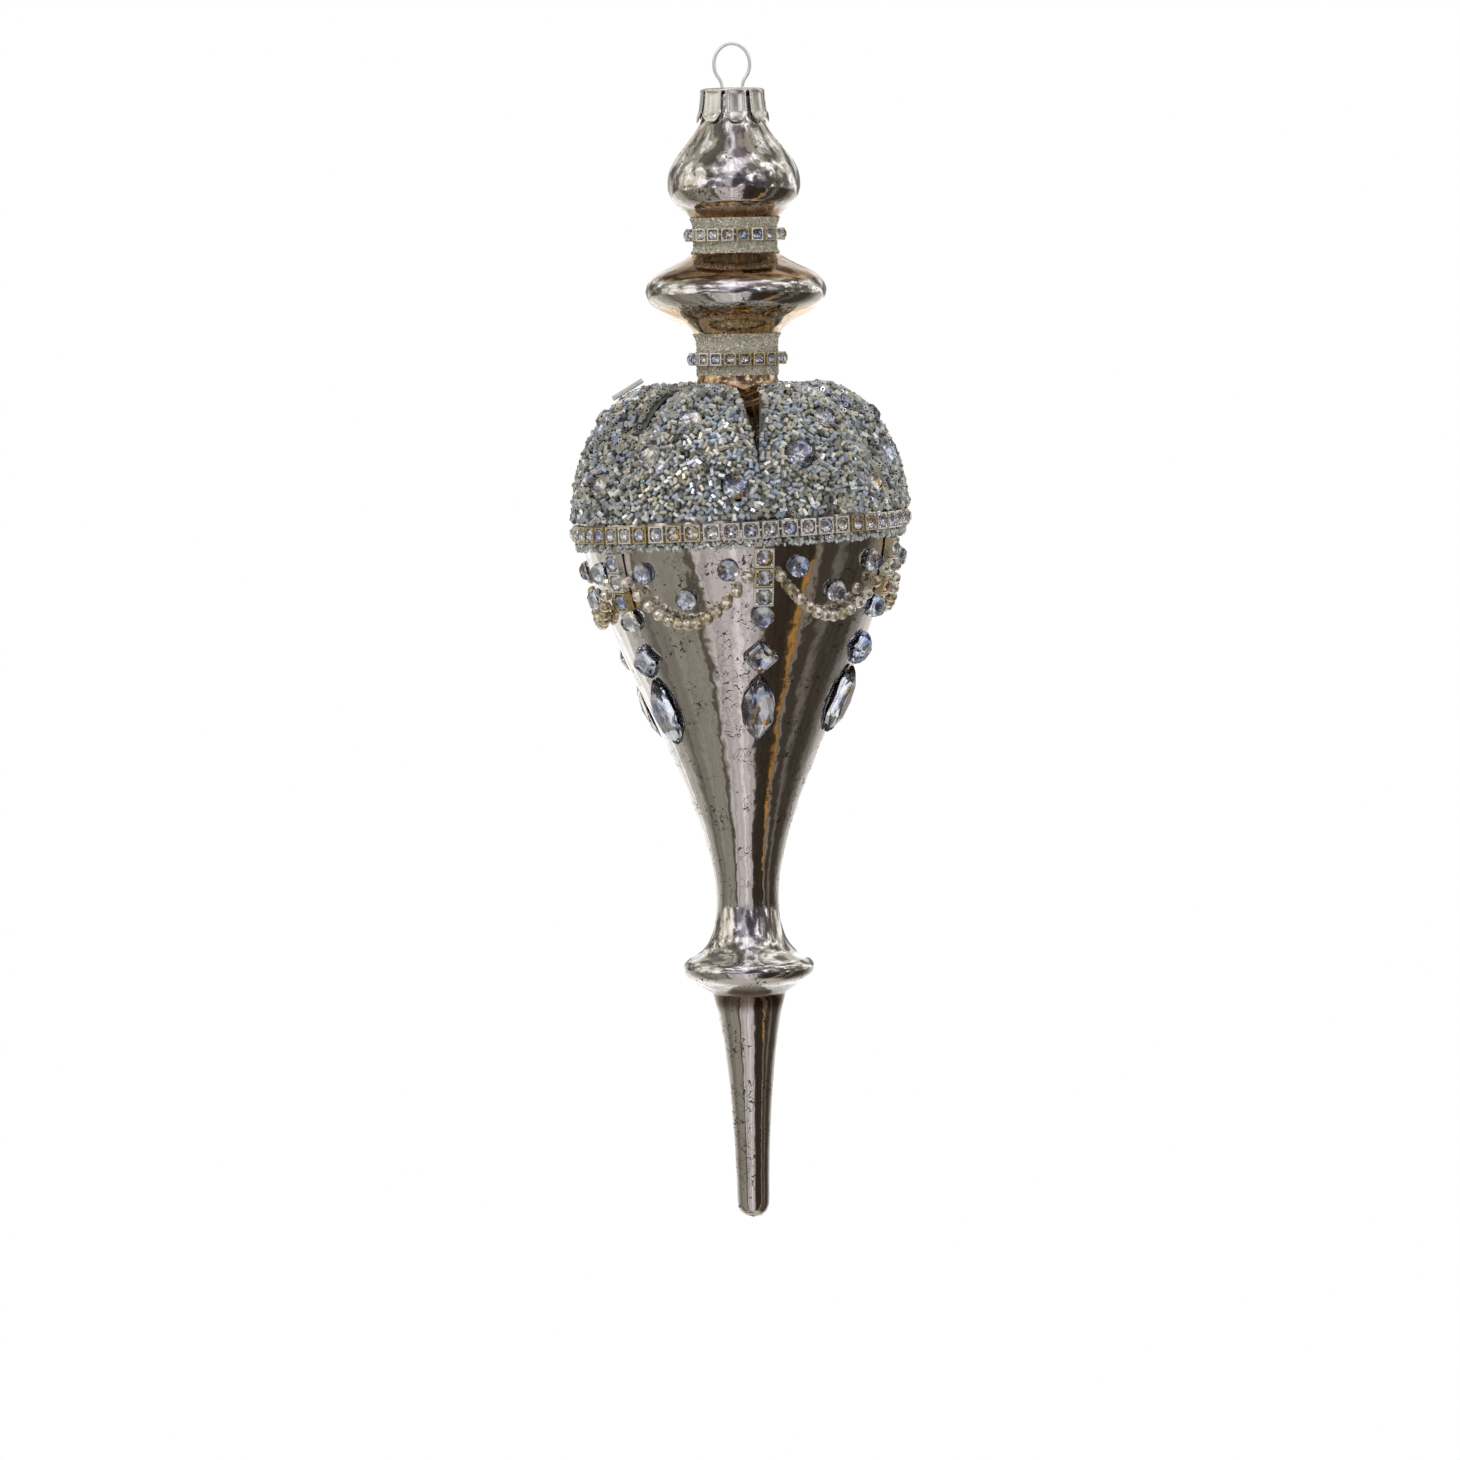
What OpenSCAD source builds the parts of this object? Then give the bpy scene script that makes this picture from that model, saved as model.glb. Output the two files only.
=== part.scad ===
// Icicle hanging ornament: a blown, silvered glass finial with glued bead and stone trim.
// It hangs from a spring-wire loop whose legs pass through a crown cap into the glass neck.
// Millimetres. +Z is up and -Y is the front. The origin is under the crown of the loop,
// where a hook bears, so the whole ornament hangs below it.

/* [Wire loop] */
// Diameter of the spring wire
wire_d = 0.7; // [0.6:0.05:0.8]
// Width of the eye between wire centres
eye_w = 7.4; // [7:0.1:8]
// Height of the eye, from its crown to the top of the cap
eye_h = 8.5; // [8.3:0.1:10]
// Length of the straight sides of the eye
eye_side_l = 2.4; // [1:0.1:2.4]
// Distance between the two holes that the wire passes through
hole_gap = 3.9; // [3.4:0.1:4]
// Splay of each spring leg
leg_splay = 8; // [3:0.5:8]
// Length of the spring legs below the cap
leg_l = 15; // [10:0.5:15]

/* [Cap] */
// Diameter of the cap at its top edge
cap_d = 12.9; // [12.8:0.05:13.4]
// Diameter across the petals at their tips
petal_tip_d = 14.7; // [14.6:0.05:15.2]
// Thickness of the cap's sheet metal
cap_t = 0.35; // [0.25:0.05:0.4]
// Height of the cap from its top to the petal tips
cap_h = 6.9; // [6:0.1:7]
// Number of petals round the cap
petals = 8; // [6:1:10]
// Width of a petal
petal_w = 4.1; // [3.4:0.1:4.2]
// Diameter of each wire hole
hole_d = 1.1; // [1.05:0.05:1.3]

/* [Glass] */
// Wall thickness of the blown glass
wall = 1; // [0.8:0.05:1.2]
// Outer diameter of the neck inside the cap
neck_d = 11.6; // [11.4:0.05:11.8]
// Length of the straight neck
neck_l = 3; // [2.6:0.1:5]
// Largest diameter of the onion-shaped bulb
bulb_d = 26.8; // [24:0.2:28]
// Drop from the neck to the widest part of the bulb
bulb_drop = 15.2; // [14:0.1:17]
// Drop from the widest part of the bulb to the upper waist
bulb_tail = 9.8; // [9:0.1:11]
// Diameter of the upper waist
upper_waist_d = 16.2; // [15:0.1:17]
// Length of the upper waist
upper_waist_l = 3; // [2.9:0.1:5]
// Diameter of the disc between the two waists
disc_d = 36.6; // [32:0.2:40]
// Drop from the upper waist to the rim of the disc
disc_rise = 8.8; // [8:0.1:10]
// Drop from the rim of the disc to the lower waist
disc_fall = 10.1; // [9:0.1:11]
// Diameter of the lower waist
lower_waist_d = 15.8; // [15:0.1:16.6]
// Length of the lower waist
lower_waist_l = 6.6; // [6:0.1:8]
// Largest diameter of the lobed body
body_d = 64.6; // [62:0.2:68]
// Drop from the lower waist to the widest part of the body
shoulder_h = 28.2; // [27:0.1:30]
// Radius at which the lobes are highest
crest_r = 15.5; // [15:0.1:16.5]
// How far below the lower waist the lobes are highest
crest_drop = 3.1; // [2.8:0.1:3.6]
// How far the creases between the lobes drop below the lower waist
crease_drop = 5; // [4.4:0.1:6]
// How far the tops of the creases are set in from the lobes' crests
crease_set_in = 2.5; // [2:0.1:3]
// Depth of the creases at the widest part of the body
crease_depth = 0.6; // [0.3:0.1:1]
// Number of lobes
lobes = 6; // [5:1:6]
// Turn of the first crease to the right of the front
lobe_turn = 8; // [0:1:20]
// Length of the taper, from the widest part of the body to the stem
taper_l = 76.7; // [72:0.1:86]
// Diameter of the stem above the flange
stem_d = 12.7; // [12:0.1:14]
// Drop from the stem to the rim of the flange
stem_l = 14.4; // [13:0.1:17]
// Diameter of the flange
flange_d = 26.8; // [24:0.2:30]
// Drop from the rim of the flange to the root of the spike
flange_fall = 5.2; // [4.8:0.1:6.5]
// Diameter of the spike at its root
spike_root_d = 14.5; // [13.5:0.1:15.5]
// Diameter of the spike above its round tip
spike_tip_d = 6.7; // [6:0.1:8]
// Length of the spike from its root to its tip
spike_l = 45.4; // [40:0.1:50]

/* [Trim] */
// Slope of the hand-glued trim, rising to the right
trim_tilt = 2; // [0:0.5:3]
// Thickness of the glitter on the waists
glitter_t = 0.35; // [0.2:0.05:0.5]
// Thickness of the bead coat on the shoulder
coat_t = 1.7; // [1.5:0.1:2.2]
// Width of a cup in the belt
belt_cup_w = 3.3; // [2.8:0.1:3.5]
// Height of a cup in the belt
belt_cup_h = 1.3; // [1.1:0.1:1.6]
// Number of cups round the belt
belt_cups = 54; // [48:2:56]
// Drop from the widest part of the body to the belt
belt_drop = 1.8; // [1.5:0.1:2.5]
// Height of the bead edging under the belt
edging_h = 1.7; // [1.4:0.1:2.2]
// Thickness of the bead edging under the belt
edging_t = 0.9; // [0.7:0.1:1.1]
// Width of a cup in the two waist rings
ring_cup_w = 2.5; // [2.1:0.1:2.6]
// Height of a cup in the two waist rings
ring_cup_h = 1; // [0.8:0.1:1.3]
// Number of cups in each waist ring
ring_cups = 20; // [16:1:20]
// Width of a cup in the posts
post_cup_w = 3.8; // [3.2:0.1:4]
// Height of a cup in the posts
post_cup_h = 1.5; // [1.1:0.1:1.7]
// Number of cups down each post
post_cups = 3; // [2:1:3]
// Diameter of a bead in the swags
swag_bead_d = 2.5; // [2.2:0.1:2.6]
// Number of beads in each swag
swag_beads = 13; // [9:1:13]
// Drop from the belt to the ends of the swags
swag_end_drop = 9; // [8.5:0.1:10]
// Depth of each swag below its ends
swag_sag = 8.6; // [7:0.1:9]
// Diameter of the round stones in each panel
panel_stone_d = 4.4; // [3.8:0.1:4.6]
// Diameter of the round stone of each drop
drop_round_d = 4.7; // [4:0.1:5]
// Width of the square stone of each drop, across its flats
drop_square_w = 5; // [4.4:0.1:5.2]
// Width of the pointed stone of each drop
navette_w = 6.9; // [6:0.1:7.2]
// Length of the pointed stone of each drop
navette_l = 14.4; // [12:0.1:15]
// Gap between the round and the square stone of each drop
drop_link = 2.9; // [2.4:0.1:3.2]
// Diameter of the largest stone on each shoulder
shoulder_stone_d = 6; // [5:0.1:6.4]
// Height of the flat-backed stones
stone_h = 2.2; // [1.8:0.1:2.4]
// Height of the shoulder stones
shoulder_stone_h = 2.4; // [2.3:0.1:2.8]

/* [Fits] */
// Gap between the rim of the neck and the cap
rim_gap = 0.3; // [0.2:0.05:0.5]
// Gap left for glue behind each glued piece
glue_gap = 0.06; // [0.05:0.01:0.1]
// Thickness of the glue bed under the bead coats
coat_bed = 0.3; // [0.25:0.05:0.4]
// Gap round a stone in its cup or pocket
stone_fit = 0.05; // [0.03:0.01:0.1]

/* [Hidden] */
lobe_names = [for (i = [1:lobes]) str("_", i)];
$fn = 48;

// ---- heights down the ornament ----
cap_top_z = -eye_h;
rim_z = cap_top_z - cap_t - rim_gap;
neck_end_z = rim_z - neck_l;
bulb_z = neck_end_z - bulb_drop;
upper_waist_z = bulb_z - bulb_tail;
upper_waist_end_z = upper_waist_z - upper_waist_l;
disc_z = upper_waist_end_z - disc_rise;
lower_waist_z = disc_z - disc_fall;
lower_waist_end_z = lower_waist_z - lower_waist_l;
body_z = lower_waist_end_z - shoulder_h;
stem_z = body_z - taper_l;
flange_z = stem_z - stem_l;
spike_z = flange_z - flange_fall;
tip_z = spike_z - spike_l;
belt_z = body_z - belt_drop;

// ---- curves ----
function bezier(a, b, c, d, t) =
    pow(1 - t, 3) * a + 3 * t * pow(1 - t, 2) * b + 3 * t * t * (1 - t) * c + pow(t, 3) * d;
function unit(v) = v / norm(v);

// An S-curve in [radius, height] from a down to b, upright at both ends.
// lead_a and lead_b are shares of the drop that the curve stays close to each end's radius.
function s_curve(a, b, lead_a, lead_b, t) =
    let (drop = a[1] - b[1])
    bezier(a, a - [0, lead_a * drop], b + [0, lead_b * drop], b, t);
function s_points(a, b, lead_a, lead_b, steps = 8) =
    [for (i = [0:steps - 1]) s_curve(a, b, lead_a, lead_b, i / steps)];

// Profile of the turned top, from the neck's rim to the end of the lower waist.
// waist_in and bulge_in set the radius back, to give the inner face of the wall.
function top_profile(waist_in, bulge_in) = concat(
    [[neck_d / 2 - waist_in, rim_z]],
    s_points([neck_d / 2 - waist_in, neck_end_z], [bulb_d / 2 - bulge_in, bulb_z], 0.37, 0.43),
    s_points([bulb_d / 2 - bulge_in, bulb_z], [upper_waist_d / 2 - waist_in, upper_waist_z], 0.66, 0.59, 10),
    [[upper_waist_d / 2 - waist_in, upper_waist_z]],
    s_points([upper_waist_d / 2 - waist_in, upper_waist_end_z], [disc_d / 2 - bulge_in, disc_z], 0.34, 0.57, 10),
    s_points([disc_d / 2 - bulge_in, disc_z], [lower_waist_d / 2 - waist_in, lower_waist_z], 0.5, 0.41, 10),
    [[lower_waist_d / 2 - waist_in, lower_waist_z], [lower_waist_d / 2 - waist_in, lower_waist_end_z]]
);

// The taper from the widest part of the body to the stem.
taper_leads = [0.26, 0.27];
function taper_point(set_in, t) =
    s_curve([body_d / 2 - set_in, body_z], [stem_d / 2 - set_in, stem_z], taper_leads[0], taper_leads[1], t);
taper_cut = 0.34;
spike_lean = 0.25;

// Profile of the turned lower end, from the cut in the taper to the tip.
function bottom_profile(set_in, flange_in) =
    let (
        root = [spike_root_d / 2 - set_in, spike_z],
        lean = [spike_lean, 1],
        tip_r = spike_tip_d / 2 - set_in,
        tip_top = [tip_r, tip_z + spike_tip_d / 2],
        rim = [flange_d / 2 - flange_in, flange_z],
        rim_lead = [0, 0.42 * flange_fall]
    )
    concat(
        [for (i = [0:11]) taper_point(set_in, taper_cut + (1 - taper_cut) * i / 12)],
        s_points([stem_d / 2 - set_in, stem_z], rim, 0.98, 0.32, 12),
        [for (i = [0:7]) bezier(rim, rim - rim_lead, root + 0.2 * flange_fall * lean, root, i / 8)],
        [for (i = [0:7]) bezier(root, root - spike_l / 3 * lean, tip_top + [0, 1], tip_top, i / 8)],
        [for (a = [0:15:90]) tip_top + tip_r * [cos(a), -sin(a)] - [tip_r, 0]]
    );

// ---- the lobed body ----
// Azimuths run from the front (-Y) to the right (+X).
function turn(azimuth, r, z) = [r * sin(azimuth), -r * cos(azimuth), z];
lobe_step = 360 / lobes;
function crease_azimuth(i) = lobe_turn + (i - 1) * lobe_step;
function lobe_azimuth(i) = crease_azimuth(i) - lobe_step / 2;
// 1 along the middle of a lobe and 0 in a crease.
function swell(azimuth) = abs(sin((azimuth - lobe_turn) * 180 / lobe_step));

waist_point = [lower_waist_d / 2, lower_waist_end_z];
crest_point = [crest_r, lower_waist_end_z - crest_drop];
hollow_point = [crest_r - crease_set_in, lower_waist_end_z - crease_drop];
equator = [body_d / 2, body_z];
crest_step = crest_point - waist_point;
hollow_step = hollow_point - waist_point;
crest_reach = equator - crest_point;
hollow_reach = equator - hollow_point;

// v runs from 0 at the lower waist, through 1 at the crest, to 2 at the widest part.
function lobe_point(v) = v < 1
    ? bezier(waist_point, waist_point + [0, 0.9 * crest_step[1]],
             crest_point - [0.66 * crest_step[0], -0.29 * crest_step[1]], crest_point, v)
    : bezier(crest_point, crest_point + [0.6 * crest_reach[0], 0], equator - [0, 0.48 * crest_reach[1]],
             equator, v - 1);
function crease_point(v) = v < 1
    ? bezier(waist_point, waist_point + [0, 0.52 * hollow_step[1]],
             hollow_point - [0.59 * hollow_step[0], 0.12 * hollow_step[1]], hollow_point, v)
    : bezier(hollow_point, hollow_point + [0.26 * hollow_reach[0], 0.04 * hollow_reach[1]],
             equator - [0.275 * hollow_reach[0], 0.6 * hollow_reach[1]], equator - [crease_depth, 0], v - 1);
// Below the widest part the creases fade out along the taper.
function skin(v, share) = v <= 2
    ? crease_point(v) + share * (lobe_point(v) - crease_point(v))
    : taper_point(0, (v - 2) * taper_cut) - [(1 - share) * crease_depth * pow(3 - v, 2), 0];
function skin_normal(v, share) =
    let (d = skin(v + 0.01, share) - skin(v - 0.01, share))
    unit([-d[1], d[0]]);

// The skin's height table for one swell, below the crest, for pieces placed by height.
table_steps = 40;
function skin_table(share) =
    [for (i = [table_steps:-1:0]) let (p = skin(1.1 + 1.9 * i / table_steps, share)) [p[1], p[0]]];
function below_cut(z) = [for (i = [24:-1:0]) let (p = taper_point(0, taper_cut + 0.4 * i / 24)) [p[1], p[0]]];
cut_z = taper_point(0, taper_cut)[1];
function skin_r(azimuth, z) =
    z > cut_z ? lookup(z, skin_table(swell(azimuth))) : lookup(z, below_cut(z));
function on_skin(azimuth, z) = turn(azimuth, skin_r(azimuth, z), z);

// Sets children on the glass with +Z along its normal and +X down the ornament.
module set_on_skin(azimuth, z, lift = 0) {
    down = on_skin(azimuth, z - 0.3) - on_skin(azimuth, z + 0.3);
    across = on_skin(azimuth + 0.6, z) - on_skin(azimuth - 0.6, z);
    x = unit(down);
    n = unit(cross(down, across));
    y = cross(n, x);
    p = on_skin(azimuth, z) + lift * n;
    multmatrix([
        [x[0], y[0], n[0], p[0]],
        [x[1], y[1], n[1], p[1]],
        [x[2], y[2], n[2], p[2]],
        [0, 0, 0, 1]
    ]) children();
}
// The height reached from z by going a distance down the glass.
function step_down(azimuth, z, d) =
    z - d / norm([1, skin_r(azimuth, z + 0.5) - skin_r(azimuth, z - 0.5)]);
// How far the sloping trim is raised at a place on the body.
function trim_rise(azimuth) = body_d / 2 * sin(azimuth) * tan(trim_tilt);

// ---- meshes swept from rings of points ----
// Triangles that close a grid of rows x columns into a tube or, where it is open, a strip.
function strip(row, next_row, columns, first = 0) = [
    for (j = [0:columns - 1])
    let (a = first + j, b = first + (j + 1) % columns)
    each [[row + a, row + b, next_row + b], [row + a, next_row + b, next_row + a]]
];

// ---- wire loop ----
// Each side runs straight down from the eye's crown, turns in at the shoulder bend, then
// turns out again through its hole. All bends are tangent to the runs between them.
eye_r = eye_w / 2;
shoulder_r = 1.6;
hole_r = 0.9;
crown_z = wire_d / 2 - eye_r;
hole_z = cap_top_z - cap_t / 2;
shoulder_mid = [eye_r - shoulder_r, crown_z - eye_side_l];
hole_mid = [hole_gap / 2 + hole_r, hole_z];
bend_run = shoulder_mid - hole_mid;
turn_in = acos(-(shoulder_r + hole_r) / norm(bend_run)) - atan2(bend_run[1], bend_run[0]);
shoulder_end = shoulder_mid + shoulder_r * [cos(turn_in), -sin(turn_in)];
hole_start = hole_mid + hole_r * [-cos(turn_in), sin(turn_in)];
leg_start = hole_mid - hole_r * [cos(leg_splay), sin(leg_splay)];
leg_run = (leg_l - hole_r * sin(leg_splay)) / cos(leg_splay);
leg_end = leg_start + leg_run * [sin(leg_splay), -cos(leg_splay)];

// A straight run of wire in the plane of the eye. Its ends are tucked inside the bends.
tuck = 0.08;
run_d = wire_d - 0.04;
module wire_run(a, b) {
    translate([a[0], 0, a[1]]) rotate([0, atan2(b[0] - a[0], b[1] - a[1]), 0])
        translate([0, 0, -tuck]) cylinder(d = run_d, h = norm(b - a) + 2 * tuck);
}
// An arc of wire in the plane of the eye, about centre, from one angle through a sweep.
module wire_arc(centre, r, from, sweep) {
    translate([centre[0], 0, centre[1]]) rotate([90, 0, 0]) rotate([0, 0, from])
        rotate_extrude(angle = sweep) translate([r, 0]) circle(d = wire_d);
}
module wire_side() {
    wire_run([eye_r, crown_z], [eye_r, crown_z - eye_side_l]);
    wire_arc(shoulder_mid, shoulder_r, -turn_in, turn_in);
    wire_run(shoulder_end, hole_start);
    wire_arc(hole_mid, hole_r, 180 - turn_in, turn_in + leg_splay);
    wire_run(leg_start, leg_end);
}
module wire_loop() {
    color("silver") {
        wire_arc([0, crown_z], eye_r, 0, 180);
        wire_side();
        mirror([1, 0, 0]) wire_side();
    }
}

// ---- cap ----
first_petal = 6;
module petal_outline() {
    translate([-petal_w / 2, petal_w / 2 - cap_h]) square([petal_w, cap_h - petal_w / 2]);
    translate([0, petal_w / 2 - cap_h]) circle(d = petal_w);
}
module cap() {
    color("silver") translate([0, 0, cap_top_z]) difference() {
        intersection() {
            translate([0, 0, -cap_h]) cylinder(d1 = petal_tip_d, d2 = cap_d, h = cap_h);
            union() {
                for (i = [0:petals - 1]) rotate([0, 0, first_petal - 90 + i * 360 / petals])
                    rotate([90, 0, 90]) linear_extrude(petal_tip_d) petal_outline();
                translate([0, 0, -2 * cap_t]) cylinder(d = petal_tip_d, h = 3 * cap_t);
            }
        }
        translate([0, 0, -cap_h - cap_t])
            cylinder(d1 = petal_tip_d - 2 * cap_t, d2 = cap_d - 2 * cap_t, h = cap_h);
        for (side = [-1, 1]) translate([side * hole_gap / 2, 0, -2 * cap_t])
            cylinder(d = hole_d, h = 3 * cap_t);
    }
}

// ---- glass ----
// The turned ends overlap the lobed middle by a short sleeve inside their walls.
sleeve = 0.4;
sleeve_in = 0.12;
ring_steps = 6 * lobes;
v_rings = concat([0.2, 0.4, 0.6, 0.8], [for (i = [0:9]) 1 + i / 10], [for (i = [0:5]) 2 + i / 6.2]);
cut_point = taper_point(0, taper_cut);
cut_slope = taper_point(0, taper_cut + 0.01) - taper_point(0, taper_cut);
sleeve_drop = cut_slope * sleeve / -cut_slope[1];

// One meridian of the lobed middle, outer face (depth 0) or inner face (depth = wall).
function meridian(share, depth) =
    let (inset = depth == 0 ? sleeve_in : depth - sleeve_in)
    concat(
        [waist_point + [-inset, sleeve], waist_point - [inset, 0.2]],
        [for (v = v_rings) v < 2 ? skin(v, share) - depth * skin_normal(v, share) : skin(v, share) - [depth, 0]],
        [cut_point - [inset, 0] - sleeve_drop / 2, cut_point - [inset, 0] + sleeve_drop]
    );
module lobed_middle() {
    rows = len(v_rings) + 4;
    columns = 8 * lobes;
    points = concat(
        [for (depth = [0, wall]) for (k = [0:rows - 1]) for (j = [0:columns - 1])
            let (azimuth = lobe_turn + j * 360 / columns, p = meridian(swell(azimuth), depth)[k])
            turn(azimuth, p[0], p[1])]
    );
    inner = rows * columns;
    outer_faces = [for (k = [0:rows - 2]) each strip(k * columns, (k + 1) * columns, columns)];
    inner_faces = [for (k = [0:rows - 2]) each strip(inner + (k + 1) * columns, inner + k * columns, columns)];
    top_faces = strip(inner, 0, columns);
    bottom_faces = strip((rows - 1) * columns, inner + (rows - 1) * columns, columns);
    polyhedron(points, concat(outer_faces, inner_faces, top_faces, bottom_faces));
}
function reversed(list) = [for (i = [len(list) - 1:-1:0]) list[i]];
bulge_in = 1.4 * wall;
module glass_shell() {
    color("tan") union() {
        rotate_extrude() polygon(concat(top_profile(0, 0), reversed(top_profile(wall, bulge_in))));
        lobed_middle();
        rotate_extrude() polygon(concat(bottom_profile(0, 0), reversed(bottom_profile(wall, 2 * wall))));
    }
}

// ---- trim ----
// A coat of glitter along a waist and up onto the curves at both of its ends.
function outline_normal(curve, i) =
    let (d = curve[min(i + 1, len(curve) - 1)] - curve[max(i - 1, 0)]) unit([-d[1], d[0]]);
function offset_curve(curve, lift) = [for (i = [0:len(curve) - 1]) curve[i] + lift * outline_normal(curve, i)];
module glitter_band(curve) {
    color("darkkhaki") rotate_extrude() polygon(concat(
        offset_curve(curve, glue_gap), reversed(offset_curve(curve, glue_gap + glitter_t))
    ));
}
function upper_waist_curve() = concat(
    [for (t = [0.5:0.1:0.9]) s_curve([bulb_d / 2, bulb_z], [upper_waist_d / 2, upper_waist_z], 0.66, 0.59, t)],
    [[upper_waist_d / 2, upper_waist_z], [upper_waist_d / 2, upper_waist_end_z]],
    [for (t = [0.1:0.1:0.4]) s_curve([upper_waist_d / 2, upper_waist_end_z], [disc_d / 2, disc_z], 0.34, 0.57, t)]
);
function lower_waist_curve() = concat(
    [for (t = [0.7:0.1:0.9]) s_curve([disc_d / 2, disc_z], [lower_waist_d / 2, lower_waist_z], 0.5, 0.41, t)],
    [[lower_waist_d / 2, lower_waist_z], [lower_waist_d / 2, lower_waist_end_z + 0.2]]
);
cup_wall = 0.28;
module cup(w, h) {
    color("goldenrod") difference() {
        translate([-w / 2, -w / 2, 0]) cube([w, w, h]);
        translate([0, 0, cup_wall]) cylinder(d = w - 2 * cup_wall, h = h);
    }
}
// A stone seated in a cup: a short girdle and a cone crown with a flat table.
module cup_stone(w, h) {
    d = w - 2 * cup_wall - 2 * stone_fit;
    girdle_h = h - cup_wall - stone_fit;
    color("lightsteelblue") translate([0, 0, cup_wall + stone_fit]) {
        cylinder(d = d, h = girdle_h);
        translate([0, 0, girdle_h]) cylinder(d1 = d, d2 = 0.55 * d, h = 0.22 * d);
    }
}
module ring_of(count, r, z, tilt = 0) {
    translate([0, 0, z]) rotate([0, -tilt, 0]) for (i = [0:count - 1])
        rotate([0, 0, (i + 0.5) * 360 / count - 90]) translate([r, 0, 0]) rotate([0, 90, 0]) children();
}
upper_ring_r = upper_waist_d / 2 + glue_gap + glitter_t + glue_gap + ring_cup_w * 0.1;
lower_ring_r = lower_waist_d / 2 + glue_gap + glitter_t + glue_gap + ring_cup_w * 0.1;
upper_ring_z = upper_waist_z - upper_waist_l / 6;
lower_ring_z = (lower_waist_z + lower_waist_end_z) / 2;
belt_r = body_d / 2 + glue_gap;

module belt_edging() {
    top = belt_z - belt_cup_w / 2 - glue_gap;
    color("darkgray") translate([0, 0, top]) rotate([0, -trim_tilt, 0]) rotate_extrude() polygon([
        [belt_r, 0], [belt_r + edging_t, -0.2 * edging_t],
        [belt_r + edging_t, -edging_h + 0.4 * edging_t], [belt_r, -edging_h]
    ]);
}

// The bead coat of one lobe: narrow at the waist, then reaching almost to the creases.
coat_v = [0.55, 1.85];
coat_top_reach = 0.4;
coat_reach = 0.985;
function coat_half_angle(v) =
    lobe_step / 2 * (coat_reach - (coat_reach - coat_top_reach) * pow(max(0, (1.8 - v) / 1.25), 1.5));
module coat_grid(i) {
    across = 8;
    down = 14;
    mid = lobe_azimuth(i);
    foot = belt_z + belt_cup_w / 2 + coat_bed;
    points = [for (lift = [coat_bed, coat_bed + coat_t]) for (k = [0:down]) for (j = [0:across])
        let (
            v = coat_v[0] + (coat_v[1] - coat_v[0]) * k / (down - 1),
            azimuth = mid + coat_half_angle(min(v, coat_v[1])) * (2 * j / across - 1),
            share = swell(azimuth),
            p = k < down ? skin(v, share) + lift * skin_normal(v, share)
                         : [body_d / 2 + lift, foot + trim_rise(azimuth)]
        )
        turn(azimuth, p[0], p[1])];
    row = across + 1;
    top = (down + 1) * row;
    quads = concat(
        [for (k = [0:down - 1]) for (j = [0:across - 1])
            [k * row + j, k * row + j + 1, (k + 1) * row + j + 1, (k + 1) * row + j]],
        [for (k = [0:down - 1]) for (j = [0:across - 1])
            [top + k * row + j, top + (k + 1) * row + j, top + (k + 1) * row + j + 1, top + k * row + j + 1]],
        [for (j = [0:across - 1]) [j, top + j, top + j + 1, j + 1]],
        [for (j = [0:across - 1]) let (a = down * row + j) [a, a + 1, top + a + 1, top + a]],
        [for (k = [0:down - 1]) let (a = k * row) [a, a + row, top + a + row, top + a]],
        [for (k = [0:down - 1]) let (a = k * row + across) [a, top + a, top + a + row, a + row]]
    );
    polyhedron(points, [for (q = quads) each [[q[0], q[1], q[2]], [q[0], q[2], q[3]]]]);
}
// Shoulder stones of one lobe: turn from the lobe's middle, then the drop below the waist
// as a share of the shoulder and the diameter as a share of the largest.
shoulder_stones = [[-14, 0.557, 1], [1, 0.316, 0.83], [20, 0.766, 0.9]];
module each_shoulder_stone(i) {
    for (s = shoulder_stones)
        set_on_skin(lobe_azimuth(i) + s[0], lower_waist_end_z - s[1] * shoulder_h, glue_gap) {
            $stone_d = s[2] * shoulder_stone_d;
            children();
        }
}
module bead_coat(i) {
    color("slategray") difference() {
        coat_grid(i);
        each_shoulder_stone(i) rotate([0, 0, 25]) translate([0, 0, -coat_t])
            cylinder(d = $stone_d + 2 * stone_fit, h = 4 * coat_t);
    }
}
module round_stone(d, h) {
    color("lightsteelblue") {
        cylinder(d = d, h = 0.35 * h);
        translate([0, 0, 0.35 * h]) cylinder(d1 = d, d2 = 0.5 * d, h = 0.65 * h);
    }
}
module square_stone(w, h) {
    table = 0.55 * w;
    girdle = 0.3 * h;
    corners = [[1, 1], [-1, 1], [-1, -1], [1, -1]];
    color("lightsteelblue") rotate([0, 0, 45]) polyhedron(
        [for (level = [[w, 0], [w, girdle], [table, h]]) for (c = corners)
            [c[0] * level[0] / 2, c[1] * level[0] / 2, level[1]]],
        concat([[0, 1, 2, 3]], [for (k = [0, 4]) each strip(k + 4, k, 4)], [[11, 10, 9, 8]])
    );
}
// A pointed stone whose outline is where two circles cross.
module navette_stone(w, l, h) {
    r = (l * l / 4 + w * w / 4) / w;
    girdle = 0.3 * h;
    color("lightsteelblue") {
        intersection_for (side = [-1, 1]) translate([0, side * (r - w / 2), 0]) cylinder(r = r, h = girdle);
        intersection_for (side = [-1, 1]) translate([0, side * (r - w / 2), girdle])
            cylinder(r1 = r, r2 = r - 0.27 * w, h = h - girdle);
    }
}
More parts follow.
